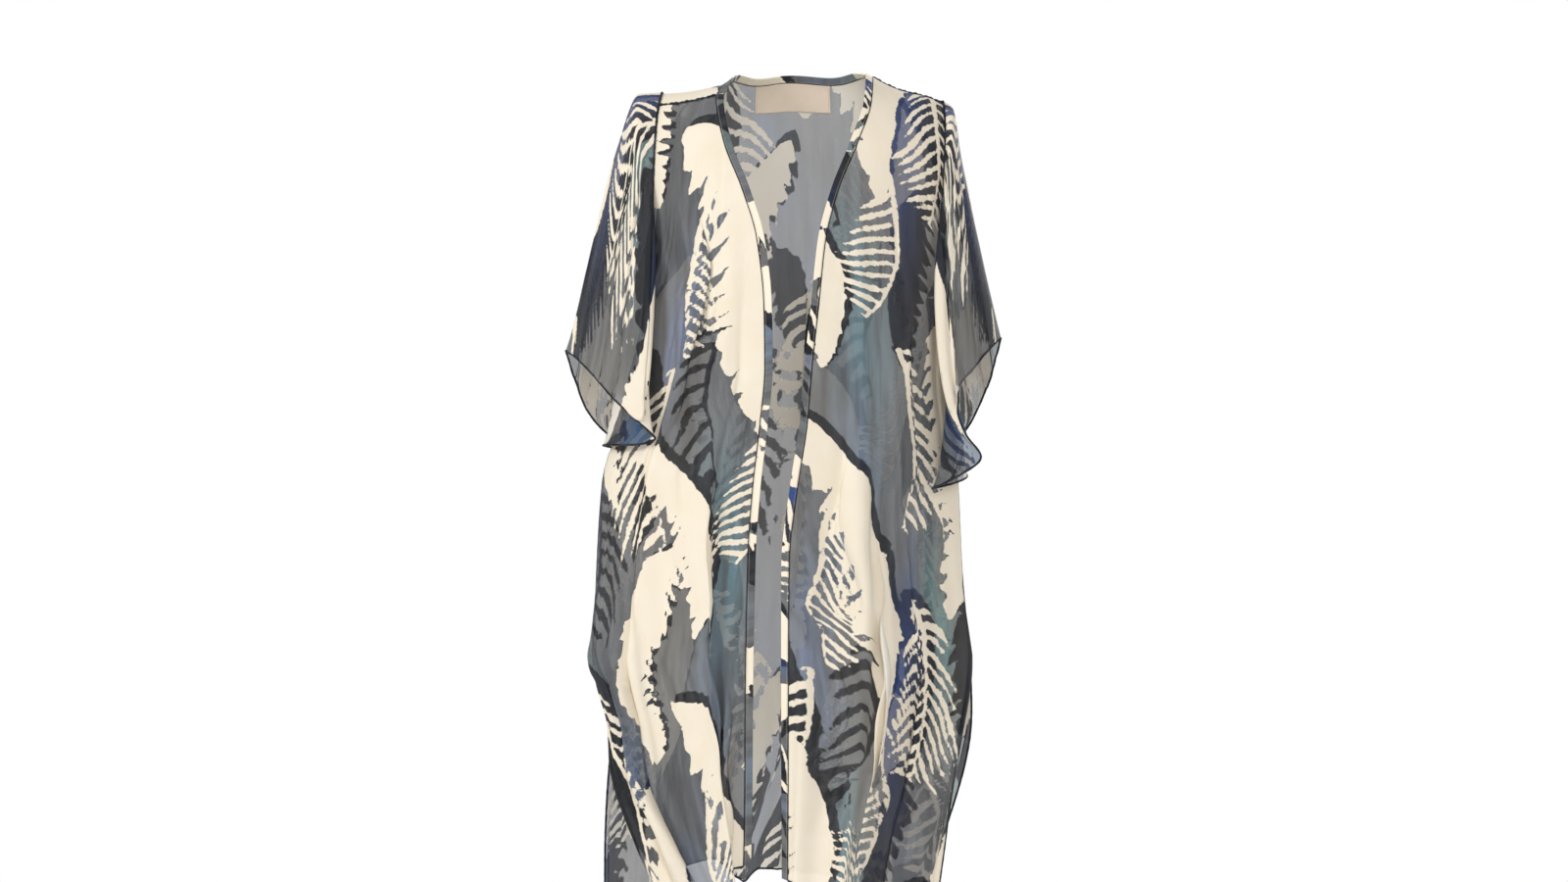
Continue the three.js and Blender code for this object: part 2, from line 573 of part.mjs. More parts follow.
// A closed wall of one thickness round a sheet of points. A tube closes on itself across.
function wall(pointAt, [columns, rows], thickness, { tube = false, flip = false } = {}) {
  const wide = tube ? columns : columns + 1;
  const grid = [];
  for (let j = 0; j <= rows; j++) {
    for (let i = 0; i < wide; i++) grid.push(pointAt(i / columns, j / rows));
  }
  const index = (i, j) => j * wide + (tube ? (i + wide) % wide : i);
  const clampColumn = (i) => (tube ? i : Math.min(Math.max(i, 0), columns));
  const clampRow = (j) => Math.min(Math.max(j, 0), rows);
  const positions = [];
  for (const side of [0.5, -0.5]) {
    for (let j = 0; j <= rows; j++) {
      for (let i = 0; i < wide; i++) {
        const along = grid[index(clampColumn(i + 1), j)].clone();
        along.sub(grid[index(clampColumn(i - 1), j)]);
        const downward = grid[index(i, clampRow(j + 1))].clone();
        downward.sub(grid[index(i, clampRow(j - 1))]);
        const normal = downward.cross(along).normalize();
        const shift = side * thickness * (flip ? -1 : 1);
        positions.push(...grid[index(i, j)].clone().addScaledVector(normal, shift).toArray());
      }
    }
  }
  const back = grid.length;
  const faces = [];
  const quad = (a, b, c, d) => {
    if (flip) faces.push(a, c, b, a, d, c);
    else faces.push(a, b, c, a, c, d);
  };
  for (let j = 0; j < rows; j++) {
    for (let i = 0; i < columns; i++) {
      const [a, b] = [index(i, j), index(i + 1, j)];
      const [c, d] = [index(i + 1, j + 1), index(i, j + 1)];
      quad(a, d, c, b);
      quad(back + a, back + b, back + c, back + d);
    }
  }
  for (let i = 0; i < columns; i++) {
    const [a, b] = [index(i, 0), index(i + 1, 0)];
    const [c, d] = [index(i, rows), index(i + 1, rows)];
    quad(a, b, back + b, back + a);
    quad(d, c, back + c, back + d);
  }
  for (let j = 0; j < rows && !tube; j++) {
    const [a, b] = [index(0, j), index(0, j + 1)];
    const [c, d] = [index(columns, j), index(columns, j + 1)];
    quad(b, a, back + a, back + b);
    quad(c, d, back + d, back + c);
  }
  const geometry = new THREE.BufferGeometry();
  geometry.setAttribute("position", new THREE.Float32BufferAttribute(positions, 3));
  geometry.setIndex(faces);
  geometry.computeVertexNormals();
  return geometry;
}

const cloth = new THREE.MeshStandardMaterial({ color: COLOURS.cloth, roughness: 0.85, metalness: 0 });
const trim = new THREE.MeshStandardMaterial({ color: COLOURS.cream, roughness: 0.85, metalness: 0 });
const tag = new THREE.MeshStandardMaterial({ color: COLOURS.label, roughness: 0.7, metalness: 0 });

const kaftan = new THREE.Group();
function sew(name, geometry, material) {
  const mesh = new THREE.Mesh(geometry, material);
  mesh.name = name;
  kaftan.add(mesh);
}

const rows = (top) => top + ROWS.bend + ROWS.below;
sew("back", wall(backPoint, [COLUMNS.back, rows(ROWS.back)], WALL, { flip: true }), cloth);
for (const side of ["right", "left"]) {
  const flip = side === "left";
  const panel = (u, v) => frontPoint(side, u, v);
  sew(`front_${side}`, wall(panel, [COLUMNS.front, rows(ROWS.front)], WALL, { flip }), cloth);
  const band = (u, v) => frontBandPoint(side, u, v);
  sew(`front_band_${side}`, wall(band, [1, rows(ROWS.front)], WALL, { flip }), trim);
  const sleeve = (u, v) => sleevePoint(side, u, v);
  const round = 2 * (ROWS.front + 2 * ROWS.bend + ROWS.back);
  sew(`sleeve_${side}`, wall(sleeve, [round, ROWS.sleeve], WALL, { tube: true, flip }), cloth);
}
const neckColumns = COLUMNS.neckTo - COLUMNS.neckFrom;
const neckBand = wall((u, v) => neckBandPoint(u, 1 - v), [neckColumns, 1], WALL, { flip: true });
sew("neck_band", neckBand, trim);
sew("neck_label", wall(labelPoint, [LABEL.columns, LABEL.rows], LABEL.wall, { flip: true }), tag);

export default kaftan;
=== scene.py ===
# An open kaftan of sheer printed chiffon, held as if worn, with wide elbow-length sleeves, a narrow band of
# the same cloth round its open edges, side slits and rolled hems. Sizes are in millimetres until a piece is
# made, +Z is up, the front faces -Y and the wearer's right is -X.
import math

import bmesh
import bpy
import numpy as np
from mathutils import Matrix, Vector


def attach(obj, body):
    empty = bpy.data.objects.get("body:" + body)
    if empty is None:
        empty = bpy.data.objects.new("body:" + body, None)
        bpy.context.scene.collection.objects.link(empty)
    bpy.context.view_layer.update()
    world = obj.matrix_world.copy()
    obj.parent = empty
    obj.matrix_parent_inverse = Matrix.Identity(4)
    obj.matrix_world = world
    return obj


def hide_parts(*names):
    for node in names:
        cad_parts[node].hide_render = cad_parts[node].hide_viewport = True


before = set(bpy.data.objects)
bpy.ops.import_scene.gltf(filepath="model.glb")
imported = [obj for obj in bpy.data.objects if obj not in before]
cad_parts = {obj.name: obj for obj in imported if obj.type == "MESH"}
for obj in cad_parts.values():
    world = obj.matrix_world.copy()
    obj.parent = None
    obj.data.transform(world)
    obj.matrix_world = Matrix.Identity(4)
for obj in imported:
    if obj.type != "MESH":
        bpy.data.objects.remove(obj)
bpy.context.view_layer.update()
MM = 0.001

# Printed cloth
# A crinkled viscose chiffon so sheer that each layer behind it darkens it. The design, large torn leaves and
# palm fronds in cream and charcoal, is screen printed on a grey ground with loose washes of blue, green and
# violet. It repeats, and every panel is cut from its own place in it.
REPEAT = (540, 700)


def table(columns, *rows):
    """Rows of numbers under named columns, in rising order of the first column."""
    rows = sorted(rows) if rows[0][0] > rows[-1][0] else rows
    return {name: np.array([row[i] for row in rows], float) for i, name in enumerate(columns.split())}


def rows_of(rows):
    """The rows of a table one by one, each a dict of its named values."""
    return [dict(zip(rows, values)) for values in zip(*rows.values())]


# Leaves: middle of each in the repeat, the way it points, length, how far it arches, half width, how deep
# its inner margin is torn (1 is to the midrib), how far apart tears are, and how far they lean to the tip
CREAM_LEAVES = table(
    "x y heading length arch width torn pitch lean",
    (70, 130, 84, 390, 0.9, 56, 0.66, 26, 0.5),
    (300, 60, 100, 290, -0.8, 38, 0.7, 21, 0.6),
    (440, 300, 74, 420, 0.7, 60, 0.6, 29, 0.5),
    (215, 400, 96, 370, -1.0, 46, 0.7, 24, 0.6),
    (365, 610, 64, 280, 1.1, 38, 0.7, 20, 0.6),
    (95, 580, 108, 290, -0.9, 42, 0.66, 25, 0.5),
)
CHARCOAL_LEAVES = table(
    "x y heading length arch width torn pitch lean",
    (180, 190, 88, 300, 1.0, 36, 0.6, 22, 0.6),
    (10, 385, 80, 240, 0.9, 34, 0.7, 20, 0.6),
    (300, 500, 86, 300, 1.0, 36, 0.6, 22, 0.6),
    (500, 590, 98, 260, -0.9, 38, 0.7, 22, 0.6),
    (120, 395, 80, 330, 0.9, 56, 0.55, 26, 0.5),
)
# Fronds: middle, the way each points, length and arch of its rib, reach and half width of its leaflets, how
# far apart they are, how far they lean and curl to the tip, and the side they grow on (2 is both)
CREAM_FRONDS = table(
    "x y heading length arch reach width pitch lean curl side",
    (185, 215, 80, 260, 0.9, 100, 3.9, 19, 0.5, 0.007, -1),
    (345, 300, 96, 210, -0.9, 85, 3.6, 17, 0.6, 0.008, 1),
    (515, 90, 88, 230, 0.8, 90, 4.2, 21, 0.4, 0.007, -1),
    (20, 400, 84, 230, 1.0, 85, 3.8, 18, 0.6, 0.008, 2),
    (305, 520, 92, 220, -0.9, 95, 4.0, 20, 0.5, 0.007, -1),
    (480, 560, 100, 210, 0.8, 90, 3.8, 18, 0.5, 0.007, 1),
)
CHARCOAL_FRONDS = table(
    "x y heading length arch reach width pitch lean curl side",
    (400, 450, 100, 220, -0.9, 85, 5.6, 25, 0.5, 0.006, -1),
    (210, 640, 88, 200, 0.9, 80, 5.2, 24, 0.5, 0.006, 2),
)
# Washes of thin colour: middle, heading, half length, half width, and the strength of each colour
WASHES = table(
    "x y heading long wide blue green violet",
    (150, 60, 85, 120, 34, 0.0, 0.8, 0.0),
    (255, 240, 80, 120, 26, 0.5, 0.2, 0.2),
    (505, 400, 95, 150, 28, 1.2, 0.0, 0.0),
    (40, 330, 75, 110, 36, 0.0, 0.75, 0.1),
    (330, 400, 100, 120, 28, 0.0, 0.3, 0.6),
    (160, 560, 85, 120, 26, 0.9, 0.2, 0.0),
    (430, 640, 80, 110, 34, 0.0, 0.7, 0.2),
    (420, 170, 96, 120, 34, 0.1, 0.4, 0.45),
)
# how far off each cream leaf's charcoal shadow lies
SHADOW = (-8, 11)


def from_middle(x, y, row):
    """Places on the cloth measured along and across a motif's heading, from its nearest repeat."""
    dx, dy = ((v - row[axis] + size / 2) % size - size / 2 for v, axis, size in zip((x, y), "xy", REPEAT))
    heading = math.radians(row["heading"])
    cos, sin = math.cos(heading), math.sin(heading)
    return dx * cos + dy * sin, dy * cos - dx * sin


def from_rib(x, y, row):
    """The same, measured along and off the arc of the motif's rib; off is above 0 on its hollow side."""
    along, across = from_middle(x, y, row)
    across = across * math.copysign(1, row["arch"])
    radius = row["length"] / abs(row["arch"])
    return np.arctan2(along, radius - across) * radius, radius - np.hypot(along, radius - across)


def scatter(number, seed):
    """A fixed number from 0 to 1 for each whole number, so that no two tears or leaflets are alike."""
    return np.abs(np.sin(number * 12.9898 + seed * 78.233) * 43758.5453) % 1


def in_leaf(x, y, row):
    """How far inside a leaf each place lies, in millimetres, below 0 outside it."""
    way, off = from_rib(x, y, row)
    share = np.clip(way / row["length"] + 0.5, 0.001, 0.999)
    blade = row["width"] * 2.2 * share**0.55 * (1 - share) ** 0.7
    blade = blade * (1 + 0.1 * np.sin(way / 37 + row["x"]) + 0.06 * np.sin(way / 13 + row["y"]))
    tear = (way - row["lean"] * np.abs(off) + 5 * np.sin(way / 29 + row["y"])) / row["pitch"]
    number = np.floor(tear)
    chance = scatter(number, row["x"])
    depth = row["torn"] * (0.25 + 0.85 * chance**1.5) * (off > 0) + 0.06
    outer = np.clip((np.abs(off) / np.maximum(blade, 1) - 1 + depth) / depth, 0, 1)
    opening = row["pitch"] * (0.2 + 0.3 * scatter(number, row["y"])) * outer**0.7
    from_tear = (0.5 - np.abs(tear - number - 0.5)) * row["pitch"]
    ragged = blade * (0.88 + 0.16 * scatter(number + (tear - number > 0.5), row["length"]))
    inside = np.minimum(ragged - np.abs(off), (from_tear - opening) + 30 * (outer <= 0))
    return np.minimum(inside, row["length"] / 2 - np.abs(way))


def in_frond(x, y, row):
    """How far inside a frond's rib and leaflets each place lies, in millimetres."""
    way, off = from_rib(x, y, row)
    far = np.abs(off)
    root = way - row["lean"] * far - row["curl"] * far * far
    step = root / row["pitch"] + 0.5 * (off > 0)
    number = np.floor(step)
    chance = scatter(number, row["x"])
    slope = np.hypot(1, row["lean"] + 2 * row["curl"] * far)
    from_middle_of = np.abs(step - number - 0.5 - 0.16 * (chance - 0.5)) * row["pitch"] / slope
    share = np.clip(root / row["length"] + 0.5, 0, 1)
    reach = row["reach"] * (0.15 + 0.85 * np.sin(share * math.pi)) * (0.72 + 0.28 * chance)
    out = np.clip(far / reach, 0, 1)
    half = row["width"] * (0.75 + 0.5 * chance) * (0.55 + 1.2 * out) * (1 - out**2.5)
    leaflet = np.minimum(np.minimum(half - from_middle_of, reach - far), row["length"] / 2 - np.abs(root))
    if row["side"] != 2:
        leaflet = np.where(np.sign(off) == row["side"], leaflet, -far - row["width"])
    rib = 1.6 + 3 * (0.5 - way / row["length"]) - far
    return np.maximum(leaflet, np.minimum(rib, row["length"] / 2 - np.abs(way)))


def printed(x, y):
    """The design at places on the cloth: how far inside cream and charcoal, then the three washes."""
    bent = x + 7 * np.sin(y / 53) + 2 * np.sin(y / 19 + x / 31)
    lifted = y + 7 * np.sin(x / 47) + 2 * np.sin(x / 17 - y / 23)
    cream = [in_leaf(bent, lifted, row) for row in rows_of(CREAM_LEAVES)]
    cream += [in_frond(bent, lifted, row) for row in rows_of(CREAM_FRONDS)]
    under = [in_leaf(bent, lifted, row) for row in rows_of(CHARCOAL_LEAVES)]
    under += [in_frond(bent, lifted, row) for row in rows_of(CHARCOAL_FRONDS)]
    under += [in_leaf(bent + SHADOW[0], lifted + SHADOW[1], row) for row in rows_of(CREAM_LEAVES)]
    washes = {name: np.zeros_like(x) for name in ("blue", "green", "violet")}
    for row in rows_of(WASHES):
        along, across = from_middle(bent, lifted, row)
        soft = np.exp(-((along / row["long"]) ** 2) - (across / row["wide"]) ** 2)
        for name in washes:
            washes[name] += row[name] * soft
    return np.max(cream, axis=0), np.max(under, axis=0), washes


def linear(hex_colour):
    """An sRGB hex colour as linear red, green, blue and a full alpha."""
    parts = [int(hex_colour[i : i + 2], 16) / 255 for i in (1, 3, 5)]
    return (*(c / 12.92 if c < 0.04045 else ((c + 0.055) / 1.055) ** 2.4 for c in parts), 1)


def add(material, kind, settings=(), **inputs):
    """Adds a node. settings are its own values, and inputs its sockets' values or the outputs linked in."""
    node = material.node_tree.nodes.new("ShaderNode" + kind)
    for key, value in dict(settings).items():
        setattr(node, key, value)
    for key, value in inputs.items():
        socket = node.inputs[int(key[1:])] if key[1:].isdigit() else node.inputs[key.replace("_", " ")]
        if isinstance(value, bpy.types.NodeSocket):
            material.node_tree.links.new(value, socket)
        else:
            socket.default_value = value
    return node


def mottle(material, shader, place, scale, detail, tones, ends=(0, 1)):
    """Colours a material in soft patches between two tones; ends are where in the noise each is pure."""
    patches = add(material, "TexNoise", Vector=place, Scale=scale, Detail=detail).outputs[0]
    ramp = add(material, "ValToRGB", Fac=patches)
    for stop, tone, end in zip(ramp.color_ramp.elements, tones, ends):
        stop.color = linear(tone)
        stop.position = end
    material.node_tree.links.new(ramp.outputs[0], shader.inputs["Base Color"])


def new_material(name, **inputs):
    """An empty material with its shader, which takes the given constant inputs."""
    material = bpy.data.materials.new(name)
    material.use_nodes = True
    material.node_tree.nodes.clear()
    shader = add(material, "BsdfPrincipled", **inputs)
    add(material, "OutputMaterial", Surface=shader.outputs[0])
    return material, shader


GROUND, GROUND_PALE = "#5b5b5d", "#797a7a"
CREAM, CHARCOAL = ("#f5ecdb", "#efe1c8"), ("#121417", "#34353a")
# the inks strike through paler and greyer on the wrong side
CREAM_BEHIND, CHARCOAL_BEHIND = ("#f2eee6", "#eae3d6"), ("#1c1e22", "#3d3f44")
# a wave texture of scale 1 repeats at this distance, in metres
WAVE_REPEAT = math.tau / 20
THREAD_APART = 0.0009
BLUE, GREEN, VIOLET = "#204384", "#5d918c", "#8189b6"
BLUE_IN_CHARCOAL = 0.45
# how far the ink's edge strays, in millimetres, by the brush's hairs and by the hand that cut the screen
HAIR_EDGE, SCREEN_WAVER = 0.6, 1.3


def chiffon(name, cover, ink_cover, cream, charcoal):
    """Printed viscose chiffon, plain woven of hard twisted yarn, so its face is dull and faintly pebbled.
    cover is how much of the light each of its two faces stops, and ink_cover the same where ink fills it.
    cream and charcoal are each two tones, where the ink lies thick and where it has pooled or run dry."""
    cloth, shader = new_material(
        name, Roughness=0.72, Sheen_Weight=0.08, Sheen_Roughness=0.4, Specular_IOR_Level=0.25
    )
    link = cloth.node_tree.links.new
    cut = add(cloth, "UVMap", {"uv_map": "cut"}).outputs[0]
    design = add(cloth, "Attribute", {"attribute_name": "design"}).outputs["Vector"]
    design = add(cloth, "SeparateXYZ", _0=design).outputs
    washes = add(cloth, "Attribute", {"attribute_name": "washes"}).outputs["Vector"]
    washes = add(cloth, "SeparateXYZ", _0=washes).outputs
    hairs = add(cloth, "TexNoise", Vector=cut, Scale=260, Detail=3).outputs[0]
    hairs = add(cloth, "MapRange", Value=hairs, _1=0.3, _2=0.7, _3=-HAIR_EDGE, _4=HAIR_EDGE).outputs[0]
    waver = add(cloth, "TexNoise", Vector=cut, Scale=95, Detail=2).outputs[0]
    waver = add(cloth, "MapRange", Value=waver, _1=0.3, _2=0.7, _3=-SCREEN_WAVER, _4=SCREEN_WAVER)
    hairs = add(cloth, "Math", {"operation": "ADD"}, _0=hairs, _1=waver.outputs[0]).outputs[0]
    ink = {}
    for key, output in (("cream", design[0]), ("charcoal", design[1])):
        edge = add(cloth, "Math", {"operation": "ADD"}, _0=output, _1=hairs).outputs[0]
        ink[key] = add(cloth, "MapRange", Value=edge, _1=-0.5, _2=0.5).outputs[0]
    pools = add(cloth, "TexNoise", Vector=cut, Scale=22, Detail=4).outputs[0]
    # a dry brush drags each colour out along the cloth in streaks about 12 mm wide
    strokes = add(cloth, "Mapping", Vector=cut, Scale=(80, 9, 1)).outputs[0]
    strokes = add(cloth, "TexNoise", Vector=strokes, Scale=1, Detail=3).outputs[0]
    drag = add(cloth, "MapRange", Value=strokes, _1=0.35, _2=0.62, _3=0.25, _4=1.15).outputs[0]
    dry = add(cloth, "MapRange", Value=strokes, _1=0.38, _2=0.66).outputs[0]

    def mix(factor, a, b):
        blend = add(cloth, "Mix", {"data_type": "RGBA"})
        for socket, value in ((0, factor), (6, a), (7, b)):
            if isinstance(value, bpy.types.NodeSocket):
                link(value, blend.inputs[socket])
            else:
                blend.inputs[socket].default_value = value
        return blend.outputs[2]

    colour = mix(dry, linear(GROUND), linear(GROUND_PALE))
    thinned = {"operation": "MULTIPLY", "use_clamp": True}
    for output, tint in zip(washes, (BLUE, GREEN, VIOLET)):
        wet = add(cloth, "Math", thinned, _0=output, _1=drag)
        colour = mix(wet.outputs[0], colour, linear(tint))
    inked = mix(dry, *map(linear, charcoal))
    # the blue wash tints the charcoal under it too
    blue = add(cloth, "Math", thinned, _0=washes[0], _1=BLUE_IN_CHARCOAL).outputs[0]
    inked = mix(blue, inked, linear(BLUE))
    colour = mix(ink["charcoal"], colour, inked)
    link(mix(ink["cream"], colour, mix(pools, *map(linear, cream))), shader.inputs["Base Color"])
    filled = add(cloth, "Math", {"operation": "MAXIMUM"}, _0=ink["cream"], _1=ink["charcoal"]).outputs[0]
    cover = add(cloth, "MapRange", Value=filled, _3=cover, _4=ink_cover).outputs[0]
    link(cover, shader.inputs["Alpha"])
    # the real threads lie 0.25 mm apart; they are drawn at 0.9 mm so that a near view can hold them
    threads = [
        add(
            cloth,
            "TexWave",
            {"bands_direction": way, "wave_type": "BANDS"},
            Vector=cut,
            Scale=WAVE_REPEAT / THREAD_APART,
            Distortion=1,
            Detail=1,
            Detail_Scale=3,
        ).outputs["Fac"]
        for way in "XY"
    ]
    weave = add(cloth, "Math", {"operation": "MULTIPLY"}, _0=threads[0], _1=threads[1]).outputs[0]
    # the crinkle of the hard twist runs along the warp
    drawn = add(cloth, "Mapping", Vector=cut, Scale=(260, 30, 1)).outputs[0]
    crinkle = add(cloth, "TexNoise", Vector=drawn, Scale=1, Detail=2).outputs[0]
    relief = add(cloth, "Math", {"operation": "MULTIPLY_ADD"}, _0=weave, _1=0.008, _2=crinkle).outputs[0]
    bump = add(cloth, "Bump", Height=relief, Strength=0.2, Distance=0.0012)
    link(bump.outputs[0], shader.inputs["Normal"])
    return cloth


printed_chiffon = chiffon("printed viscose chiffon", 0.5, 0.76, CREAM, CHARCOAL)
wrong_side = chiffon("printed viscose chiffon wrong side", 0.5, 0.7, CREAM_BEHIND, CHARCOAL_BEHIND)

# The body's form
# The panels hang from the shoulders as a flat oval tube. These are the sizes of its rings, right, left,
# front and back of the middle, its shoulders, armholes and side slits, the same as the solids' own.
SHOULDER_ROUND = 88
SEAM_GAP = 0.7
RIDGE = table(
    "inward right left", (0, 1, -10), (0.33, 2, -2), (0.66, 5, 5), (0.85, 8, 13), (1, 11, 22)
)
RIDGE_BEHIND_NECK = 50
SEAM_FORWARD = {"right": 58, "left": 15}
ARMHOLE_ANGLE = {"right": 33.5, "left": 23}
ARMHOLE_FADE = (-480, -60)
ARMHOLE_BEND, BEND_LENGTH, UNDERARM = -130, 155, -255
SLIT_FADE = (712, 1000, 0.8)
NECK_CENTRE, NECK_HALF, NECK_DROP, NECK_ANGLE, NECK_SQUARENESS = 0.461, 0.2315, 69, 61, 4
TORSO = table(
    "z right left front back",
    (40, 186, 208, 90, 86),
    (-40, 200, 212, 100, 94),
    (-130, 204, 208, 112, 106),
    (-255, 203, 203, 121, 108),
    (-350, 206, 202, 120, 104),
    (-430, 217, 206, 117, 101),
    (-460, 231, 210, 117, 101),
    (-495, 239, 214, 117, 101),
    (-600, 246, 219, 119, 103),
    (-680, 249, 226, 121, 105),
    (-712, 252, 229, 122, 107),
    (-745, 245, 231, 123, 108),
    (-800, 232, 233, 124, 110),
    (-870, 236, 231, 126, 112),
    (-1060, 241, 228, 128, 114),
)
SLIT = table(
    "z front_right front_left back_right back_left",
    (-712, 0, 0, 0, 0),
    (-760, 9, 13, 7, 2),
    (-810, 17, 22, 9, 6),
    (-850, 23, 26, 10, 12),
    (-900, 32, 30, 8, 21),
    (-950, 41, 33, 7, 29),
    (-1000, 50, 36, 8, 35),
    (-1060, 56, 39, 10, 40),
)
# Rows of the solids: down the front and the back to the armhole's bend, round it, and on to the hem
ROWS = {"front": 6, "back": 8, "bend": 5, "below": 22}
# a fold is at its full size this far below the height where it starts
FOLD_GROWTH = 260


def read(rows, column, at):
    """One column of a table at values of its first, smoothly and without overshoot."""
    keys, values = next(iter(rows.values())), rows[column]
    rate = np.diff(values) / np.diff(keys)
    both = rate[:-1] * rate[1:]
    total = np.where(both > 0, rate[:-1] + rate[1:], 1)
    slope = np.concatenate([rate[:1], np.where(both > 0, 2 * both / total, 0), rate[-1:]])
    at = np.clip(at, keys[0], keys[-1])
    i = np.clip(np.searchsorted(keys, at, side="right") - 1, 0, len(keys) - 2)
    span = keys[i + 1] - keys[i]
    t = (at - keys[i]) / span
    u = 1 - t
    ends = values[i] * (1 + 2 * t) * u * u + values[i + 1] * (3 - 2 * t) * t * t
    return ends + span * (slope[i] * t * u * u - slope[i + 1] * t * t * u)


def smooth(value, low, high):
    t = np.clip((value - low) / (high - low), 0, 1)
    return t * t * (3 - 2 * t)


def between(a, b, t):
    return a + (b - a) * t


def side_angle(side, panel, z):
    """How far round from the side the armhole or the slit takes a panel's edge."""
    armhole = math.radians(ARMHOLE_ANGLE[side])
    share = np.clip((ARMHOLE_BEND - z) / (ARMHOLE_BEND - UNDERARM), 0, 1)
    slit = np.radians(read(SLIT, f"{panel}_{side}", z))
    return np.where(z < SLIT["z"][-1], slit, armhole * np.sqrt(1 - share * share))


def gentle_angle(side, panel, z):
    """The same, faded out slowly down the side, for the cloth inside the panel."""
    low, high, share = SLIT_FADE
    slit = side_angle(side, panel, z) * share * smooth(-z, low, high)
    armhole = math.radians(ARMHOLE_ANGLE[side]) * smooth(z, *ARMHOLE_FADE)
    return np.where(z < SLIT["z"][-1], slit, armhole)


def over_shoulder(length):
    """Drop and reach of the cloth at an arc length over the shoulder."""
    quarter = SHOULDER_ROUND * math.pi / 2
    angle = np.minimum(length, quarter) / SHOULDER_ROUND
    return SHOULDER_ROUND * (1 - np.cos(angle)) + np.maximum(length - quarter, 0), np.sin(angle)


def length_to(z, ridge):
    return SHOULDER_ROUND * math.pi / 2 + ridge - SHOULDER_ROUND - z


def bend_height(share):
    return between(ARMHOLE_BEND, UNDERARM, np.sin(share * math.pi / 2))


def length_down(panel, down, start, ridge, foot):
    """Arc length down a panel at a share of its rows."""
    top, bend, below = ROWS[panel], ROWS["bend"], ROWS["below"]
    row = down * (top + bend + below)
    upper = between(start, length_to(ARMHOLE_BEND, ridge), row / top)
    middle = length_to(bend_height(np.clip((row - top) / bend, 0, 1)), ridge)
    lower = between(length_to(UNDERARM, ridge), length_to(foot, ridge), (row - top - bend) / below)
    return np.where(row <= top, upper, np.where(row <= top + bend, middle, lower))


def body_point(face, turn, length, ridge):
    """Places on the body: turn runs from 0 at the wearer's right side to pi at the left."""
    drop, reach = over_shoulder(np.abs(length))
    z = ridge - drop
    half = np.where(np.cos(turn) > 0, read(TORSO, "right", z), read(TORSO, "left", z))
    front = (length < 0) != (face == "front")
    depth = np.where(front, read(TORSO, "front", z), read(TORSO, "back", z)) * np.sin(turn) * reach
    return np.stack([-half * np.cos(turn), np.where(front, -depth, depth), z], axis=-1)


def speed(face, turn, z):
    """Arc length for each radian of turn."""
    half = np.where(np.cos(turn) > 0, read(TORSO, "right", z), read(TORSO, "left", z))
    return np.hypot(half * np.sin(turn), read(TORSO, face, z) * np.cos(turn))


def seam_length(side):
    return SHOULDER_ROUND * math.asin(SEAM_FORWARD[side] / read(TORSO, "front", 0))


def seam_gap(side, inward):
    turn = np.radians(between(ARMHOLE_ANGLE[side], NECK_ANGLE, inward))
    return SEAM_GAP / 2 / (read(TORSO, "front", 0) / SHOULDER_ROUND * np.sin(turn))


def outward_at(points):
    """The level direction out of the body at places on its side."""
    x, y, z = np.moveaxis(points, -1, 0)
    half = np.where(x < 0, read(TORSO, "right", z), read(TORSO, "left", z))
    depth = np.where(y < 0, read(TORSO, "front", z), read(TORSO, "back", z))
    out = np.stack([x / half**2, y / depth**2, 0 * z], axis=-1)
    return out / np.linalg.norm(out, axis=-1, keepdims=True)


def fold_shift(folds, across, width, z, foot):
    """How far the main folds push the cloth out and along it."""
    out, along = 0 * z, 0 * z
    for fold in rows_of(folds):
        start = fold["from"]
        place = between(fold["top"], fold["foot"], smooth(-z, -start, -foot))
        size = smooth(start - z, 0, FOLD_GROWTH) * np.exp(-(((across - place) * width / fold["width"]) ** 2))
        out, along = out + size * fold["out"], along + size * fold["lean"]
    return out, along


def unit(vectors):
    return vectors / np.maximum(np.linalg.norm(vectors, axis=-1, keepdims=True), 1e-9)


def creased(points, creases, across, width, calm, centre):
    """Points moved by the creases laid by hand: soft troughs and ridges that wander, the largest laid over
    flat. calm is 0 where a seam or an edge holds the cloth and 1 where it is free."""
    z = points[..., 2]
    out, along = 0 * z, 0 * z
    for crease in rows_of(creases):
        share = np.clip((crease["from"] - z) / (crease["from"] - crease["to"]), 0, 1)
        wander = 3 * np.sin(z / 61 + crease["top"] * 40) + 1.5 * np.sin(z / 23 + crease["foot"] * 90)
        away = (across - between(crease["top"], crease["foot"], share)) * width + wander
        ends = smooth(share, 0, 0.3) * (1 - smooth(share, crease["fades"], 1)) * calm
        size = ends * np.exp(-((away / crease["width"]) ** 2))
        out, along = out + size * crease["depth"], along + size * crease["lean"]
    aside = unit(np.gradient(points, axis=1))
    return points + facing_out(points, centre) * out[..., None] + aside * along[..., None]


def laid_flat(points, tube):
    """Where a grid of points lies on the flat cloth, straight with the grain on average down every row."""
    across = np.diff(points, axis=1)
    x = np.concatenate([0 * points[:, :1, 0], np.cumsum(np.linalg.norm(across, axis=-1), axis=1)], axis=1)
    aside = unit(np.gradient(points, axis=1))
    down = np.diff(points, axis=0)
    sideways = np.sum(down * (aside[1:] + aside[:-1]) / 2, axis=-1)
    y = np.sqrt(np.maximum(np.sum(down * down, axis=-1) - sideways**2, 0))
    y = np.concatenate([0 * y[:1], np.cumsum(y, axis=0)])
    if tube:
        whole = x[:, -1:]
        return np.where(x > whole / 2, x - whole, x), y
    slide = np.mean(sideways - np.diff(x, axis=0), axis=1)
    return x + np.concatenate([[0], np.cumsum(slide)])[:, None], y


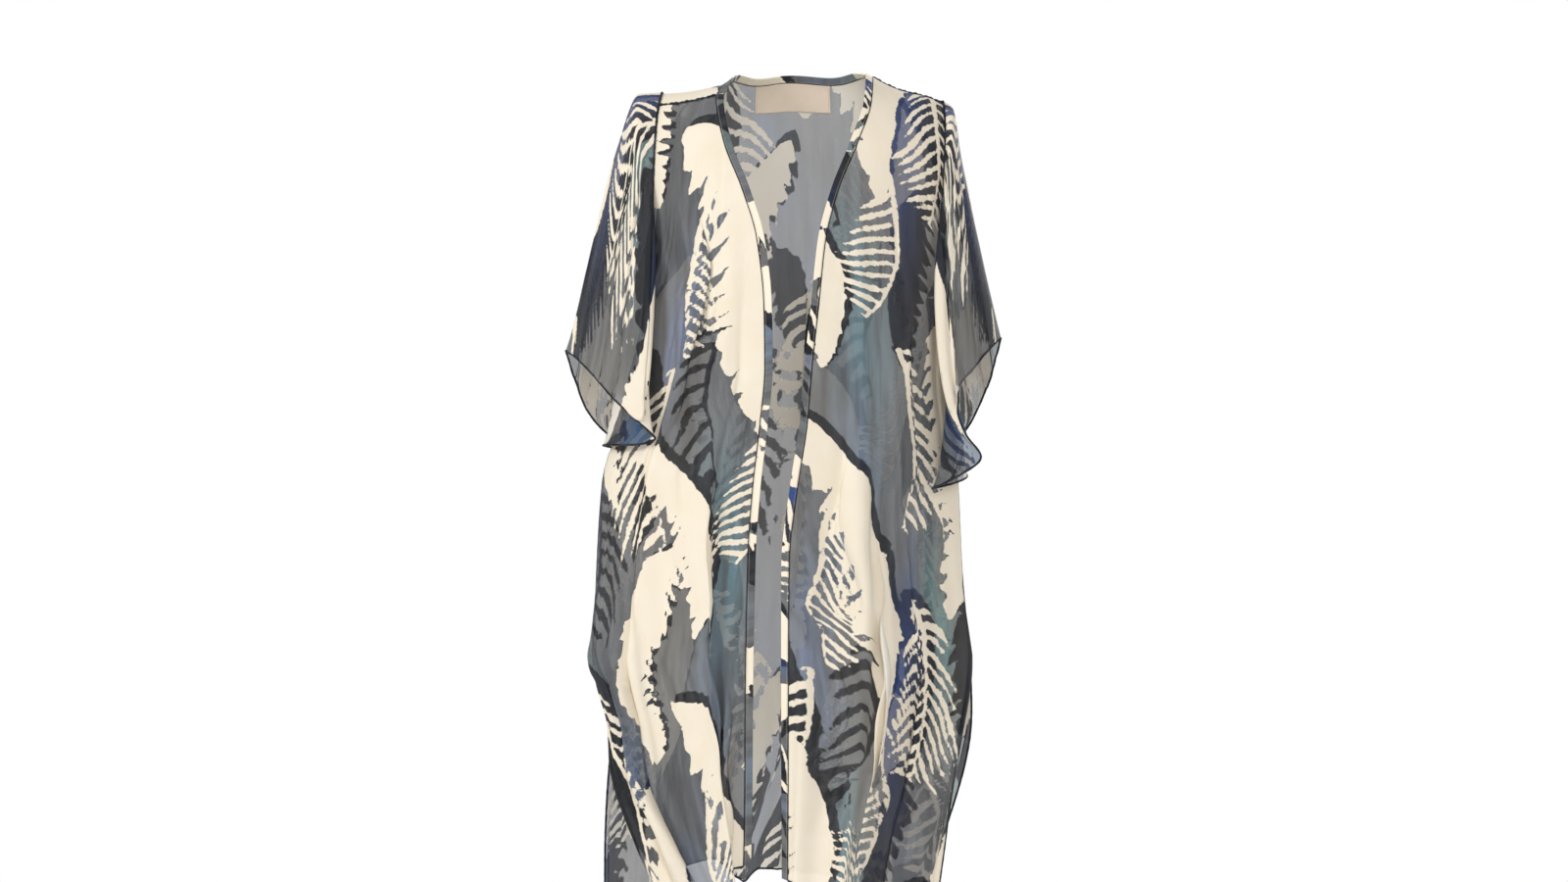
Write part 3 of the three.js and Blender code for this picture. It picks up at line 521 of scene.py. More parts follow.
def sew(
    name,
    place,
    columns,
    rows,
    centre,
    corner=(0, 0),
    tube=False,
    thick=0.8,
    turn_over=False,
    crosswise=False,
):
    """Makes a piece of cloth. place gives the points for shares across and down it, and centre gives the
    points that it faces away from. corner is where its cloth was cut from the repeat, turned over or
    crosswise. A tube is closed round. Returns it with its grid of points."""
    bm = bmesh.new()
    bmesh.ops.create_grid(bm, x_segments=columns, y_segments=rows, size=0.5)
    spots = [(round((v.co.y - 0.5) * -rows), round((v.co.x + 0.5) * columns)) for v in bm.verts]
    across, down = np.meshgrid(np.linspace(0, 1, columns + 1), np.linspace(0, 1, rows + 1))
    points = place(across, down)
    facing = facing_out(points, centre)
    x, y = laid_flat(points, tube)
    x = -x if turn_over else x
    x, y = (y, x) if crosswise else (x, y)
    x, y = x + corner[0], y + corner[1]
    cream, charcoal, washes = printed(x, y)
    layers = bm.verts.layers.float_vector
    design, tints = layers.new("design"), layers.new("washes")
    cut = bm.loops.layers.uv.new("cut")
    tint = np.stack([washes[key] for key in ("blue", "green", "violet")], axis=-1)
    for vertex, spot in zip(bm.verts, spots):
        vertex.co = points[spot] * MM
        vertex[design] = (cream[spot], charcoal[spot], 0)
        vertex[tints] = tint[spot]
    for face in bm.faces:
        for loop in face.loops:
            spot = spots[loop.vert.index]
            loop[cut].uv = (x[spot] * MM, y[spot] * MM)
        face.smooth = True
    grid_way = np.cross(np.gradient(points, axis=0), np.gradient(points, axis=1))
    if np.mean(np.sum(facing * grid_way, axis=-1)) < 0:
        bmesh.ops.reverse_faces(bm, faces=bm.faces)
    if tube:
        bmesh.ops.remove_doubles(bm, verts=bm.verts, dist=1e-6)
    return finish_piece(name, bm, thick), points


def finish_piece(name, bm, thick=0):
    """Turns a finished bmesh into an object that rides on the garment, walled if thick is given."""
    mesh = bpy.data.meshes.new(name)
    bm.to_mesh(mesh)
    bm.free()
    piece = bpy.data.objects.new(name, mesh)
    bpy.context.scene.collection.objects.link(piece)
    if thick:
        wall = piece.modifiers.new("wall", "SOLIDIFY")
        wall.thickness, wall.offset, wall.material_offset = thick * MM, 0, 1
    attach(piece, "root")
    return piece


def facing_out(points, centre):
    """The way a grid of points faces, out from the points that centre gives."""
    facing = unit(np.cross(np.gradient(points, axis=0), np.gradient(points, axis=1)))
    turned = np.mean(np.sum(facing * (points - centre(points)), axis=-1)) < 0
    return -facing if turned else facing


def from_axis(points):
    """The body's own axis beside each point."""
    return points * (0, 0, 1)


# The back
# One panel of chiffon from the forward shoulder seams to the hem, cut to the armholes and hollowed at the
# neck. It hangs straight from the shoulder blades, with loose folds that grow towards the hem.
BACK_HEM = table(
    "across z",
    (0, -1040),
    (0.18, -1036),
    (0.32, -1010),
    (0.4, -992),
    (0.44, -1020),
    (0.47, -1024),
    (0.51, -1006),
    (0.62, -1012),
    (0.8, -1036),
    (1, -1042),
)
BACK_FOLDS = table(
    "top foot from out lean width",
    (0.3, 0.28, -110, 9, 5, 18),
    (0.7, 0.72, -110, 9, -5, 18),
    (0.5, 0.44, -190, 15, 14, 15),
    (0.58, 0.58, -300, 11, -10, 14),
    (0.4, 0.34, -330, 12, -11, 14),
    (0.64, 0.66, -420, 11, 9, 14),
    (0.2, 0.19, -480, 11, 8, 17),
    (0.8, 0.82, -480, 11, -8, 17),
    (0.09, 0.09, -520, 8, -5, 16),
    (0.91, 0.91, -520, 8, 5, 16),
)
# Creases: place across at both ends, the heights they run between, depth (below 0 a trough), width, the
# share of their length where they begin to fade, and how far they are laid over
BACK_CREASES = table(
    "top foot from to depth width fades lean",
    (0.12, 0.14, -60, -620, 3.8, 8, 0.5, 5),
    (0.17, 0.2, -30, -420, -3.5, 7, 0.4, -4),
    (0.25, 0.23, -150, -900, 4.2, 7, 0.7, 5),
    (0.33, 0.36, -40, -520, -2.9, 9, 0.5, -4),
    (0.38, 0.33, -260, -1060, -4.2, 6, 0.9, -5),
    (0.46, 0.5, -90, -700, 3.5, 8, 0.6, 4),
    (0.53, 0.56, -330, -1060, -4.5, 6, 0.9, -6),
    (0.6, 0.62, -60, -480, 2.9, 9, 0.5, 4),
    (0.68, 0.64, -200, -980, 3.8, 7, 0.8, 5),
    (0.75, 0.77, -50, -640, -3.5, 8, 0.5, -4),
    (0.84, 0.86, -140, -820, 3.8, 7, 0.6, 5),
    (0.89, 0.85, -420, -1060, -3.8, 7, 0.9, -5),
    (0.4, 0.36, -280, -1060, 3.0, 9, 0.96, 28),
    (0.62, 0.64, -420, -1060, 3.0, 9, 0.96, -27),
    (0.5, 0.47, -150, -760, 2.6, 8, 0.8, 21),
    (0.28, 0.3, -520, -1040, 2.8, 8, 0.9, -22),
    (0.78, 0.76, -380, -980, 2.8, 8, 0.8, 22),
)
# How fast the pull of a seam dies away across a panel, and the share of its width that the folds leave calm
EDGE_PULL = {"front": 3, "back": 6}
FOLD_CALM = {"front": 0.12, "back": 0.06}
BACK_SPREAD = 0.85
BACK_WIDTH, FRONT_WIDTH, SLEEVE_ROUND = 560, 235, 720
# the columns of the solid where the neckline begins and ends, and how many there are
NECK_COLUMNS = (8, 28, 36)


def back_top(across):
    """Where the back's top edge lies, before the ridge, and the height of the ridge over it."""
    off = np.abs(across - NECK_CENTRE) / NECK_HALF
    hollow = off < 1
    right = across < NECK_CENTRE
    inward = np.where(
        right, across / (NECK_CENTRE - NECK_HALF), (1 - across) / (1 - NECK_CENTRE - NECK_HALF)
    )
    start, ridge = 0 * across, 0 * across
    rise = between(off * off, smooth(off, 0, 1), off**NECK_SQUARENESS)
    for side, here in (("right", right), ("left", ~right)):
        behind = between(RIDGE_BEHIND_NECK, RIDGE[side][-1], rise)
        seam = seam_gap(side, np.clip(inward, 0, 1)) - seam_length(side)
        neck = between(NECK_DROP, seam_gap(side, 1) - seam_length(side), off**NECK_SQUARENESS)
        start = np.where(here, np.where(hollow, neck, seam), start)
        ridge = np.where(here, np.where(hollow, behind, read(RIDGE, side, inward)), ridge)
    return start, ridge


def back_across(u, v):
    """Columns of the back lie closer together round the neckline and even out lower down."""
    first, last, whole = NECK_COLUMNS
    column = u * whole
    t = 2 * (column - first) / (last - first) - 1
    neck = NECK_CENTRE + NECK_HALF * between(t, np.sin(np.clip(t, -1, 1) * math.pi / 2), 0.5)
    right = (NECK_CENTRE - NECK_HALF) * column / first
    left = between(NECK_CENTRE + NECK_HALF, 1, (column - last) / (whole - last))
    top = np.where(column < first, right, np.where(column < last, neck, left))
    rows = ROWS["back"] + ROWS["bend"]
    return between(top, u, smooth(v * (rows + ROWS["below"]), 0, rows))


def back_form(u, down):
    across = back_across(u, down)
    start, ridge = back_top(across)
    foot = read(BACK_HEM, "z", across)
    length = length_down("back", down, start, ridge, foot)
    z = ridge - over_shoulder(np.abs(length))[0]
    gap = SEAM_GAP / 2 / read(TORSO, "back", z)
    first = gentle_angle("right", "back", z) + gap
    last = math.pi - gentle_angle("left", "back", z) - gap
    right_pull = side_angle("right", "back", z) + gap - first
    left_pull = math.pi - side_angle("left", "back", z) - gap - last
    pull = EDGE_PULL["back"]
    turn = between(first, last, across) + right_pull * (1 - across) ** pull + left_pull * across**pull
    width = (last - first) * BACK_SPREAD * speed("back", np.full_like(z, math.pi / 2), z)
    out, along = fold_shift(BACK_FOLDS, across, width, z, foot)
    calm = smooth(across, 0, FOLD_CALM["back"]) * smooth(1 - across, 0, FOLD_CALM["back"])
    turn = turn + along * calm / speed("back", turn, z)
    points = body_point("back", turn, length, ridge)
    return points + outward_at(points) * (out * calm)[..., None]


def back_cloth(u, down):
    points = back_form(u, down)
    calm = smooth(u, 0, 0.05) * smooth(1 - u, 0, 0.05) * smooth(down, 0, 0.06)
    return creased(points, BACK_CREASES, u, BACK_WIDTH, calm, from_axis)


back, back_points = sew("back_panel", back_cloth, 158, 296, from_axis, corner=(40, 150))
back.data.materials.append(printed_chiffon)
back.data.materials.append(wrong_side)
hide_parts("back")

# The fronts
# Two panels that stop short of each other, so that the garment hangs open. Each is cut on straight grain,
# falls from the shoulder in long soft folds, and is free of the back below the side seam, where the right
# one's edge has turned itself under.
FRONT_EDGE = table(
    "z right left",
    (20, -94, 105),
    (-20, -92, 101),
    (-71, -82, 84),
    (-131, -59, 60),
    (-192, -41, 44),
    (-276, -32, 35),
    (-350, -31, 27),
    (-421, -37, 21),
    (-500, -46, 9),
    (-590, -52, -1),
    (-760, -54, -2),
    (-1060, -55, -2),
)
TURNED = table(
    "z width", (-730, 0), (-780, 20), (-860, 32), (-930, 24), (-1000, 10), (-1060, 6)
)
TURN_DEPTH, TURN_SOFTNESS, TURN_REACH = 7, 5, 0.5
FRONT_HEMS = {
    "right": table(
        "across z",
        (0, -1022),
        (0.15, -1040),
        (0.4, -1046),
        (0.62, -1036),
        (0.78, -1004),
        (0.88, -968),
        (1, -962),
    ),
    "left": table(
        "across z",
        (0, -1034),
        (0.2, -1043),
        (0.45, -1040),
        (0.6, -1022),
        (0.75, -1000),
        (0.87, -985),
        (1, -979),
    ),
}
FRONT_FOLDS = {
    "right": table(
        "top foot from out lean width",
        (0.8, 0.72, -60, 6, 3, 15),
        (0.63, 0.52, -190, 12, -12, 14),
        (0.82, 0.82, -380, 13, 11, 13),
        (0.42, 0.36, -460, 13, 9, 16),
        (0.95, 0.93, -560, 9, -8, 10),
        (0.2, 0.2, -500, 10, -8, 17),
    ),
    "left": table(
        "top foot from out lean width",
        (0.82, 0.7, -70, 6, -3, 15),
        (0.58, 0.42, -210, 16, 16, 16),
        (0.77, 0.79, -350, 13, -12, 13),
        (0.68, 0.62, -480, 12, 11, 13),
        (0.93, 0.93, -480, 9, 8, 11),
        (0.2, 0.22, -500, 11, -8, 17),
    ),
}
FRONT_CREASES = {
    "right": table(
        "top foot from to depth width fades lean",
        (0.22, 0.27, -60, -560, 3.5, 7, 0.5, 4),
        (0.36, 0.3, -90, -480, -3.5, 7, 0.4, -4),
        (0.5, 0.46, -70, -720, 3.8, 6, 0.6, 5),
        (0.58, 0.6, -330, -1040, -4.2, 5, 0.9, -5),
        (0.7, 0.66, -120, -900, 3.8, 6, 0.8, 5),
        (0.88, 0.86, -200, -1000, -2.9, 5, 0.8, -4),
        (0.3, 0.34, -560, -1040, -4.2, 7, 0.9, -5),
        (0.14, 0.12, -640, -1020, 3.5, 7, 0.9, 4),
        (0.56, 0.6, -140, -460, 2.8, 8, 0.8, 23),
        (0.76, 0.78, -390, -1060, 3.2, 9, 0.97, 29),
        (0.9, 0.91, -700, -1060, 2.8, 7, 0.96, 19),
        (0.38, 0.42, -600, -1040, 2.8, 8, 0.9, -22),
    ),
    "left": table(
        "top foot from to depth width fades lean",
        (0.24, 0.3, -60, -600, -3.8, 7, 0.5, -5),
        (0.33, 0.36, -100, -420, 3.5, 7, 0.4, 4),
        (0.47, 0.5, -60, -520, 4.2, 6, 0.5, 5),
        (0.52, 0.5, -360, -1040, -4.5, 5, 0.9, -6),
        (0.66, 0.6, -150, -860, 3.8, 6, 0.8, 5),
        (0.86, 0.88, -160, -980, -2.9, 5, 0.8, -4),
        (0.33, 0.3, -560, -1040, 4.2, 7, 0.9, 5),
        (0.14, 0.13, -620, -1040, 3.8, 7, 0.9, 5),
        (0.79, 0.74, -430, -690, 3.0, 8, 0.8, 24),
        (0.72, 0.66, -540, -880, 3.2, 8, 0.85, -25),
        (0.6, 0.57, -680, -1050, 3.2, 8, 0.95, 24),
        (0.4, 0.44, -240, -620, 2.8, 8, 0.7, 20),
    ),
}
FRONT_COLUMNS = 21


def front_form(side):
    sign = 1 if side == "right" else -1
    across_middle = "left" if side == "right" else "right"

    def place(inside, down):
        ridge = read(RIDGE, side, inside)
        foot = read(FRONT_HEMS[side], "z", inside)
        start = seam_length(side) + seam_gap(side, inside)
        length = length_down("front", down, start, ridge, foot)
        z = ridge - over_shoulder(length)[0]
        edge = read(FRONT_EDGE, side, z)
        half = np.where(sign * edge < 0, read(TORSO, side, z), read(TORSO, across_middle, z))
        gap = SEAM_GAP / 2 / read(TORSO, "front", z)
        at_side = side_angle(side, "front", z) + gap
        first = gentle_angle(side, "front", z) + gap
        last = np.arccos(-sign * edge / half)
        width = (last - first) * speed("front", (first + last) / 2, z)
        turn = between(first, last, inside) + (at_side - first) * (1 - inside) ** EDGE_PULL["front"]
        under = 0
        if side == "right":
            turned = read(TURNED, "width", z)
            share = smooth(turned, 0, TURN_DEPTH)
            from_turn = between(-turned, width, inside)
            rounded = np.hypot(from_turn, TURN_SOFTNESS) - TURN_SOFTNESS
            doubled = at_side + rounded / speed("front", at_side, z)
            turn = between(turn, between(doubled, turn, smooth(inside, 0, TURN_REACH)), share)
            under = share * TURN_DEPTH * (1 - smooth(from_turn, -TURN_SOFTNESS, TURN_SOFTNESS))
        out, along = fold_shift(FRONT_FOLDS[side], inside, width, z, foot)
        calm = smooth(inside, 0, FOLD_CALM["front"])
        turn = turn + along * calm / speed("front", turn, z)
        points = body_point("front", turn if side == "right" else math.pi - turn, length, ridge)
        return points + outward_at(points) * (out * calm - under)[..., None]

    return place


def front_cloth(side):
    def place(inside, down):
        points = front_form(side)(inside, down)
        calm = smooth(inside, 0, 0.12) * smooth(1 - inside, 0, 0.05) * smooth(down, 0, 0.05)
        return creased(points, FRONT_CREASES[side], inside, FRONT_WIDTH, calm, from_axis)

    return place


fronts, front_points = {}, {}
for side, corner in (("right", (300, 60)), ("left", (20, 330))):
    piece, grid = sew(
        f"front_panel_{side}", front_cloth(side), 104, 400, from_axis, corner, turn_over=side == "left"
    )
    piece.data.materials.append(printed_chiffon)
    piece.data.materials.append(wrong_side)
    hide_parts(f"front_{side}")
    fronts[side], front_points[side] = piece, grid

# The sleeves
# Wide straight sleeves set in at a dropped armhole. Each is a tube of chiffon that stands off the shoulder,
# falls flat against the body and ends in a hem that droops to a corner before and behind.
SLEEVES = {
    "right": table(
        "down outX outZ tipX tipY tipZ inX inZ",
        (0, 163, 2, 171, 64, -130, 204, -255),
        (0.09, 193, 0, 170, 70, -150, 208, -266),
        (0.17, 206, -24, 168, 76, -175, 210, -275),
        (0.25, 213, -52, 167, 80, -197, 211, -285),
        (0.4, 229, -110, 166, 86, -240, 213, -310),
        (0.6, 246, -185, 166, 89, -305, 216, -350),
        (0.8, 262, -255, 167, 91, -370, 221, -400),
        (1, 284, -325, 168, 93, -435, 237, -448),
    ),
    "left": table(
        "down outX outZ tipX tipY tipZ inX inZ",
        (0, 193, -11, 192, 46, -130, 204, -255),
        (0.09, 205, -18, 188, 58, -153, 207, -268),
        (0.17, 211, -40, 185, 66, -180, 208, -280),
        (0.25, 215, -64, 182, 73, -205, 208, -292),
        (0.4, 225, -112, 178, 81, -255, 209, -325),
        (0.6, 239, -182, 174, 87, -325, 211, -370),
        (0.8, 254, -248, 171, 90, -400, 217, -425),
        (1, 269, -310, 168, 92, -475, 224, -482),
    ),
}
SLEEVE_LIFT_OFF, SHOULDER_UP, SLEEVE_BULGE, SLEEVE_HEAD = 1.9, 2, 0.8, 0.35
SLEEVE_FOOT = (0.25, 1.4)
SLEEVE_HEMS = {
    "right": table(
        "turn x y z",
        (0, 286, 0, -326),
        (20, 274, -28, -333),
        (45, 246, -62, -359),
        (70, 217, -84, -391),
        (90, 185, -93, -420),
        (106, 167, -90, -438),
        (130, 196, -76, -446),
        (155, 227, -44, -446),
        (180, 238, 0, -447),
        (205, 229, 44, -450),
        (230, 196, 76, -456),
        (252, 168, 90, -460),
        (272, 200, 94, -452),
        (290, 241, 82, -430),
        (312, 262, 58, -403),
        (332, 273, 34, -375),
        (347, 280, 14, -347),
        (360, 286, 0, -326),
    ),
    "left": table(
        "turn x y z",
        (0, 269, 0, -310),
        (20, 257, -28, -320),
        (45, 232, -62, -347),
        (68, 209, -86, -378),
        (84, 207, -99, -404),
        (97, 216, -103, -432),
        (110, 236, -97, -461),
        (123, 211, -91, -483),
        (138, 176, -88, -500),
        (160, 205, -62, -494),
        (183, 226, 0, -485),
        (208, 208, 58, -472),
        (235, 172, 88, -462),
        (260, 200, 95, -450),
        (285, 229, 85, -429),
        (310, 251, 58, -384),
        (335, 260, 30, -353),
        (348, 265, 12, -331),
        (360, 269, 0, -310),
    ),
}
SLEEVE_CREASES = {
    "right": table(
        "top foot from to depth width fades lean",
        (0.08, 0.07, 0, -400, 3.8, 7, 0.8, 5),
        (0.14, 0.16, -40, -420, -3.5, 8, 0.8, -4),
        (0.2, 0.22, -80, -430, 3.2, 7, 0.8, 4),
        (0.78, 0.8, -80, -440, 3.5, 8, 0.8, 4),
        (0.86, 0.85, -40, -420, -3.8, 8, 0.8, -5),
        (0.93, 0.95, 0, -380, 3.5, 7, 0.8, 4),
        (0.17, 0.19, -60, -430, 2.8, 9, 0.9, 25),
        (0.89, 0.88, -60, -430, 2.8, 9, 0.9, -25),
    ),
    "left": table(
        "top foot from to depth width fades lean",
        (0.07, 0.08, -20, -390, -3.5, 7, 0.8, -4),
        (0.13, 0.12, -50, -440, 3.5, 8, 0.8, 4),
        (0.19, 0.21, -90, -450, -3.2, 7, 0.8, -4),
        (0.79, 0.78, -80, -440, -3.5, 8, 0.8, -4),
        (0.87, 0.88, -40, -420, 3.8, 8, 0.8, 5),
        (0.94, 0.93, -10, -380, -3.2, 7, 0.8, -4),
        (0.16, 0.15, -60, -440, 2.8, 9, 0.9, 25),
        (0.85, 0.86, -60, -430, 2.8, 9, 0.9, -25),
    ),
}


def armhole_way(side):
    """The ridge over an armhole, and the way down it to its bend and to the underarm."""
    ridge = RIDGE[side][0]
    to_bend = length_to(ARMHOLE_BEND, ridge)
    return ridge, to_bend, to_bend + BEND_LENGTH


def way_round(side, around):
    """The way round an armhole from the shoulder seam by the front, in step with the panels' rows."""
    start = seam_length(side)
    _, to_bend, half = armhole_way(side)
    row = around * (ROWS["front"] + 2 * ROWS["bend"] + ROWS["back"])
    bend = row - ROWS["front"]
    front = between(start, to_bend, row / ROWS["front"])
    under = to_bend + BEND_LENGTH * bend / ROWS["bend"]
    behind = between(to_bend + 2 * BEND_LENGTH, 2 * half + start, (bend - 2 * ROWS["bend"]) / ROWS["back"])
    return np.where(bend <= 0, front, np.where(bend <= 2 * ROWS["bend"], under, behind))


def armhole_point(side, way):
    ridge, to_bend, half = armhole_way(side)
    way_down = np.where(way <= half, way, 2 * half - way)
    share = np.maximum((way_down - to_bend) / BEND_LENGTH, 0)
    length = np.where(share > 0, length_to(bend_height(share), ridge), way_down)
    turn = math.radians(ARMHOLE_ANGLE[side]) * np.cos(share * math.pi / 2)
    turn = turn if side == "right" else math.pi - turn
    before, behind = (body_point(face, turn, length, ridge) for face in ("front", "back"))
    points = np.where((way <= half)[..., None], before, behind)
    up = SHOULDER_UP * np.cos(np.minimum(np.abs(length) / SHOULDER_ROUND, math.pi / 2))
    outward = outward_at(points) + up[..., None] * (0, 0, 1)
    return points + unit(outward) * SLEEVE_LIFT_OFF


def sleeve_ring(side, angle, down):
    row = {name: read(SLEEVES[side], name, down) for name in SLEEVES[side] if name != "down"}
    c = np.cos(angle)
    x = between(row["tipX"], np.where(c > 0, row["outX"], row["inX"]), np.abs(c) ** SLEEVE_BULGE)
    z = between(row["tipZ"], np.where(c > 0, row["outZ"], row["inZ"]), np.abs(c))
    sign = -1 if side == "right" else 1
    return np.stack([sign * x, -row["tipY"] * np.sin(angle), z], axis=-1)


def from_ring(points):
    """The middle of each ring of a tube."""
    return np.mean(points, axis=1, keepdims=True)


def sleeve_cloth(side):
    def place(around, down):
        way = way_round(side, around)
        half = armhole_way(side)[2]
        angle = way / half * math.pi
        turn = (way / half * 180) % 360
        hem = np.stack([read(SLEEVE_HEMS[side], axis, turn) for axis in "xyz"], axis=-1)
        hem = hem * ((-1 if side == "right" else 1), 1, 1)
        low, power = SLEEVE_FOOT
        points = between(sleeve_ring(side, angle, down), hem, (smooth(down, low, 1) ** power)[..., None])
        offset = armhole_point(side, way) - sleeve_ring(side, angle, 0 * down)
        points = points + offset * (1 - smooth(down, 0, SLEEVE_HEAD))[..., None]
        calm = smooth(down, 0, 0.2) * (1 - 0.7 * smooth(down, 0.85, 1))
        return creased(points, SLEEVE_CREASES[side], around, SLEEVE_ROUND, calm, from_ring)

    return place


sleeve_points, sleeves = {}, {}
for side, corner in (("right", (520, 370)), ("left", (480, 425))):
    piece, grid = sew(
        f"sleeve_cloth_{side}", sleeve_cloth(side), 240, 150, from_ring, corner, tube=True
    )
    piece.data.materials.append(printed_chiffon)
    piece.data.materials.append(wrong_side)
    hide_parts(f"sleeve_{side}")
    sleeves[side], sleeve_points[side] = piece, grid

# The bands
# A strip of the same chiffon, cut across the cloth and folded double, finishes both front edges and the back
# of the neck. Four layers of cloth lie in it, so it looks deeper than the panels.
BAND_WIDTH, NECK_BAND_HEIGHT = 9, 11
folded_chiffon = chiffon("folded viscose chiffon", 0.8, 0.93, CREAM, CHARCOAL)


def front_band(side):
    def place(past, down):
        edge = front_form(side)(1 + 0 * past, down)
        before = front_form(side)(1 - 1 / FRONT_COLUMNS + 0 * past, down)
        return edge + unit(edge - before) * (SEAM_GAP + past * BAND_WIDTH)[..., None]

    return place


bands, band_points = {}, {}
for side, corner in (("right", (100, 60)), ("left", (460, 410))):
    piece, grid = sew(
        f"band_{side}", front_band(side), 8, 400, from_axis, corner, thick=1.2, crosswise=True
    )
    piece.data.materials.append(folded_chiffon)
    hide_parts(f"front_band_{side}")
    bands[side], band_points[side] = piece, grid

# the share of a panel over which the lie of its cloth is measured
SLOPE_STEP = 0.006


def neck_band_cloth(across, down):
    first, last, whole = NECK_COLUMNS
    column = between(first, last, across)

    def at(c, v=0.0):
        return back_form(c / whole, v + 0 * c)

    edge = at(column)
    before, after = unit(edge - at(column - 1)), unit(at(column + 1) - edge)
    tangent = unit(before + after)
    away = edge - at(column, SLOPE_STEP)
    away = unit(away - tangent * np.sum(away * tangent, axis=-1, keepdims=True))
    away = np.where((column <= first)[..., None], before, away)
    away = np.where((column >= last)[..., None], -after, away)
    return edge + away * (SEAM_GAP + (1 - down) * NECK_BAND_HEIGHT)[..., None]


neck_band, neck_band_points = sew(
    "band_neck", neck_band_cloth, 160, 10, from_axis, corner=(310, 230), thick=1.2
)
neck_band.data.materials.append(folded_chiffon)
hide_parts("neck_band")

# Seams
# The pieces are joined by narrow French seams, sewn twice so that the raw edges lie inside. The rolled
# allowance shows as a dark cord through the sheer cloth, thickest along the shoulders.
SHOULDER_SEAM, ARMHOLE_SEAM, SIDE_SEAM, BAND_SEAM = 1.9, 1.4, 0.9, 0.8

seam_cloth, seam_shader = new_material("rolled viscose chiffon", Roughness=0.8, Specular_IOR_Level=0.2)
seam_place = add(seam_cloth, "TexCoord").outputs["Object"]
mottle(seam_cloth, seam_shader, seam_place, 60, 4, ("#14171d", "#3a3f49"), (0.35, 0.75))
seam_grain = add(seam_cloth, "TexNoise", Vector=seam_place, Scale=900, Detail=2).outputs[0]
seam_bump = add(seam_cloth, "Bump", Height=seam_grain, Strength=0.5, Distance=0.0004)
seam_cloth.node_tree.links.new(seam_bump.outputs[0], seam_shader.inputs["Normal"])


def roll(name, path, radius, closed=False, uneven=0.12):
    """A rolled edge or seam: a thin cord of cloth along a path, never quite even in thickness."""
    curve = bpy.data.curves.new(name, "CURVE")
    curve.dimensions = "3D"
    curve.bevel_depth, curve.bevel_resolution, curve.use_fill_caps = radius * MM, 2, not closed
    spline = curve.splines.new("POLY")
    spline.points.add(len(path) - 1)
    spline.use_cyclic_u = closed
    way = np.concatenate([[0], np.cumsum(np.linalg.norm(np.diff(path, axis=0), axis=-1))])
    for point, place, at in zip(spline.points, path, way):
        point.co = (*(place * MM), 1)
        point.radius = 1 + uneven * (math.sin(at * 0.9) + math.sin(at * 0.37 + radius * 7)) / 2
    holder = bpy.data.objects.new(name, curve)
    bpy.context.scene.collection.objects.link(holder)
    bpy.context.view_layer.update()
    bm = bmesh.new()
    evaluated = holder.evaluated_get(bpy.context.evaluated_depsgraph_get())
    bm.from_mesh(evaluated.to_mesh())
    evaluated.to_mesh_clear()
    bpy.data.objects.remove(holder)
    for face in bm.faces:
        face.smooth = True
    piece = finish_piece(name, bm)
    piece.data.materials.append(seam_cloth)
    return piece


trims = {name: [] for name in ("back", "right", "left", "sleeve_right", "sleeve_left")}
for side in ("right", "left"):
    grid, sleeve = front_points[side], sleeve_points[side]
    trims[side].append(roll(f"seam_shoulder_{side}", grid[0], SHOULDER_SEAM, uneven=0.4))
    on_side = (grid[:, 0, 2] < UNDERARM) & (grid[:, 0, 2] > SLIT["z"][-1])
    trims[side].append(roll(f"seam_side_{side}", grid[on_side, 0], SIDE_SEAM))
    trims[side].append(roll(f"seam_band_{side}", grid[:, -1], BAND_SEAM))
    trims[f"sleeve_{side}"].append(
        roll(f"seam_armhole_{side}", sleeve[0, :-1], ARMHOLE_SEAM, closed=True, uneven=0.3)
    )
    trims[f"sleeve_{side}"].append(
        roll(f"seam_underarm_{side}", sleeve[:, sleeve.shape[1] // 2], SIDE_SEAM)
    )
first, last = (round(c * (back_points.shape[1] - 1) / NECK_COLUMNS[2]) for c in NECK_COLUMNS[:2])
trims["back"].append(roll("seam_neck", back_points[0, first : last + 1], BAND_SEAM))

# Hems
# Every free edge, round the sleeves, down both sides of the slits and along the bottom, is rolled twice
# between the fingers and slip stitched. So many layers in it make a thin dark line.
HEM_ROLL = 1.35

for side in ("right", "left"):
    grid, sleeve = front_points[side], sleeve_points[side]
    slit = grid[grid[:, 0, 2] < SLIT["z"][-1], 0]
    trims[side].append(roll(f"hem_front_{side}", np.concatenate([slit, grid[-1, 1:]]), HEM_ROLL))
    trims[f"sleeve_{side}"].append(roll(f"hem_sleeve_{side}", sleeve[-1, :-1], HEM_ROLL, closed=True))
slits = [back_points[back_points[:, at, 2] < SLIT["z"][-1], at] for at in (0, -1)]
around = np.concatenate([slits[0], back_points[-1, 1:-1], slits[1][::-1]])
trims["back"].append(roll("hem_back", around, HEM_ROLL))

# The label
# A bare woven satin label inside the back of the neck, a little off the cloth.
# It is sewn down all round with small stitches.
LABEL_COLUMNS, LABEL_ROWS, LABEL_DEPTH = 8, 2, 1.6
LABEL_THICK, FLOAT_APART = 0.7, 0.0005

label_satin, label_shader = new_material(
    "woven polyester satin", Roughness=0.42, Sheen_Weight=0.2, Sheen_Roughness=0.3
)
label_cut = add(label_satin, "UVMap", {"uv_map": "cut"}).outputs[0]
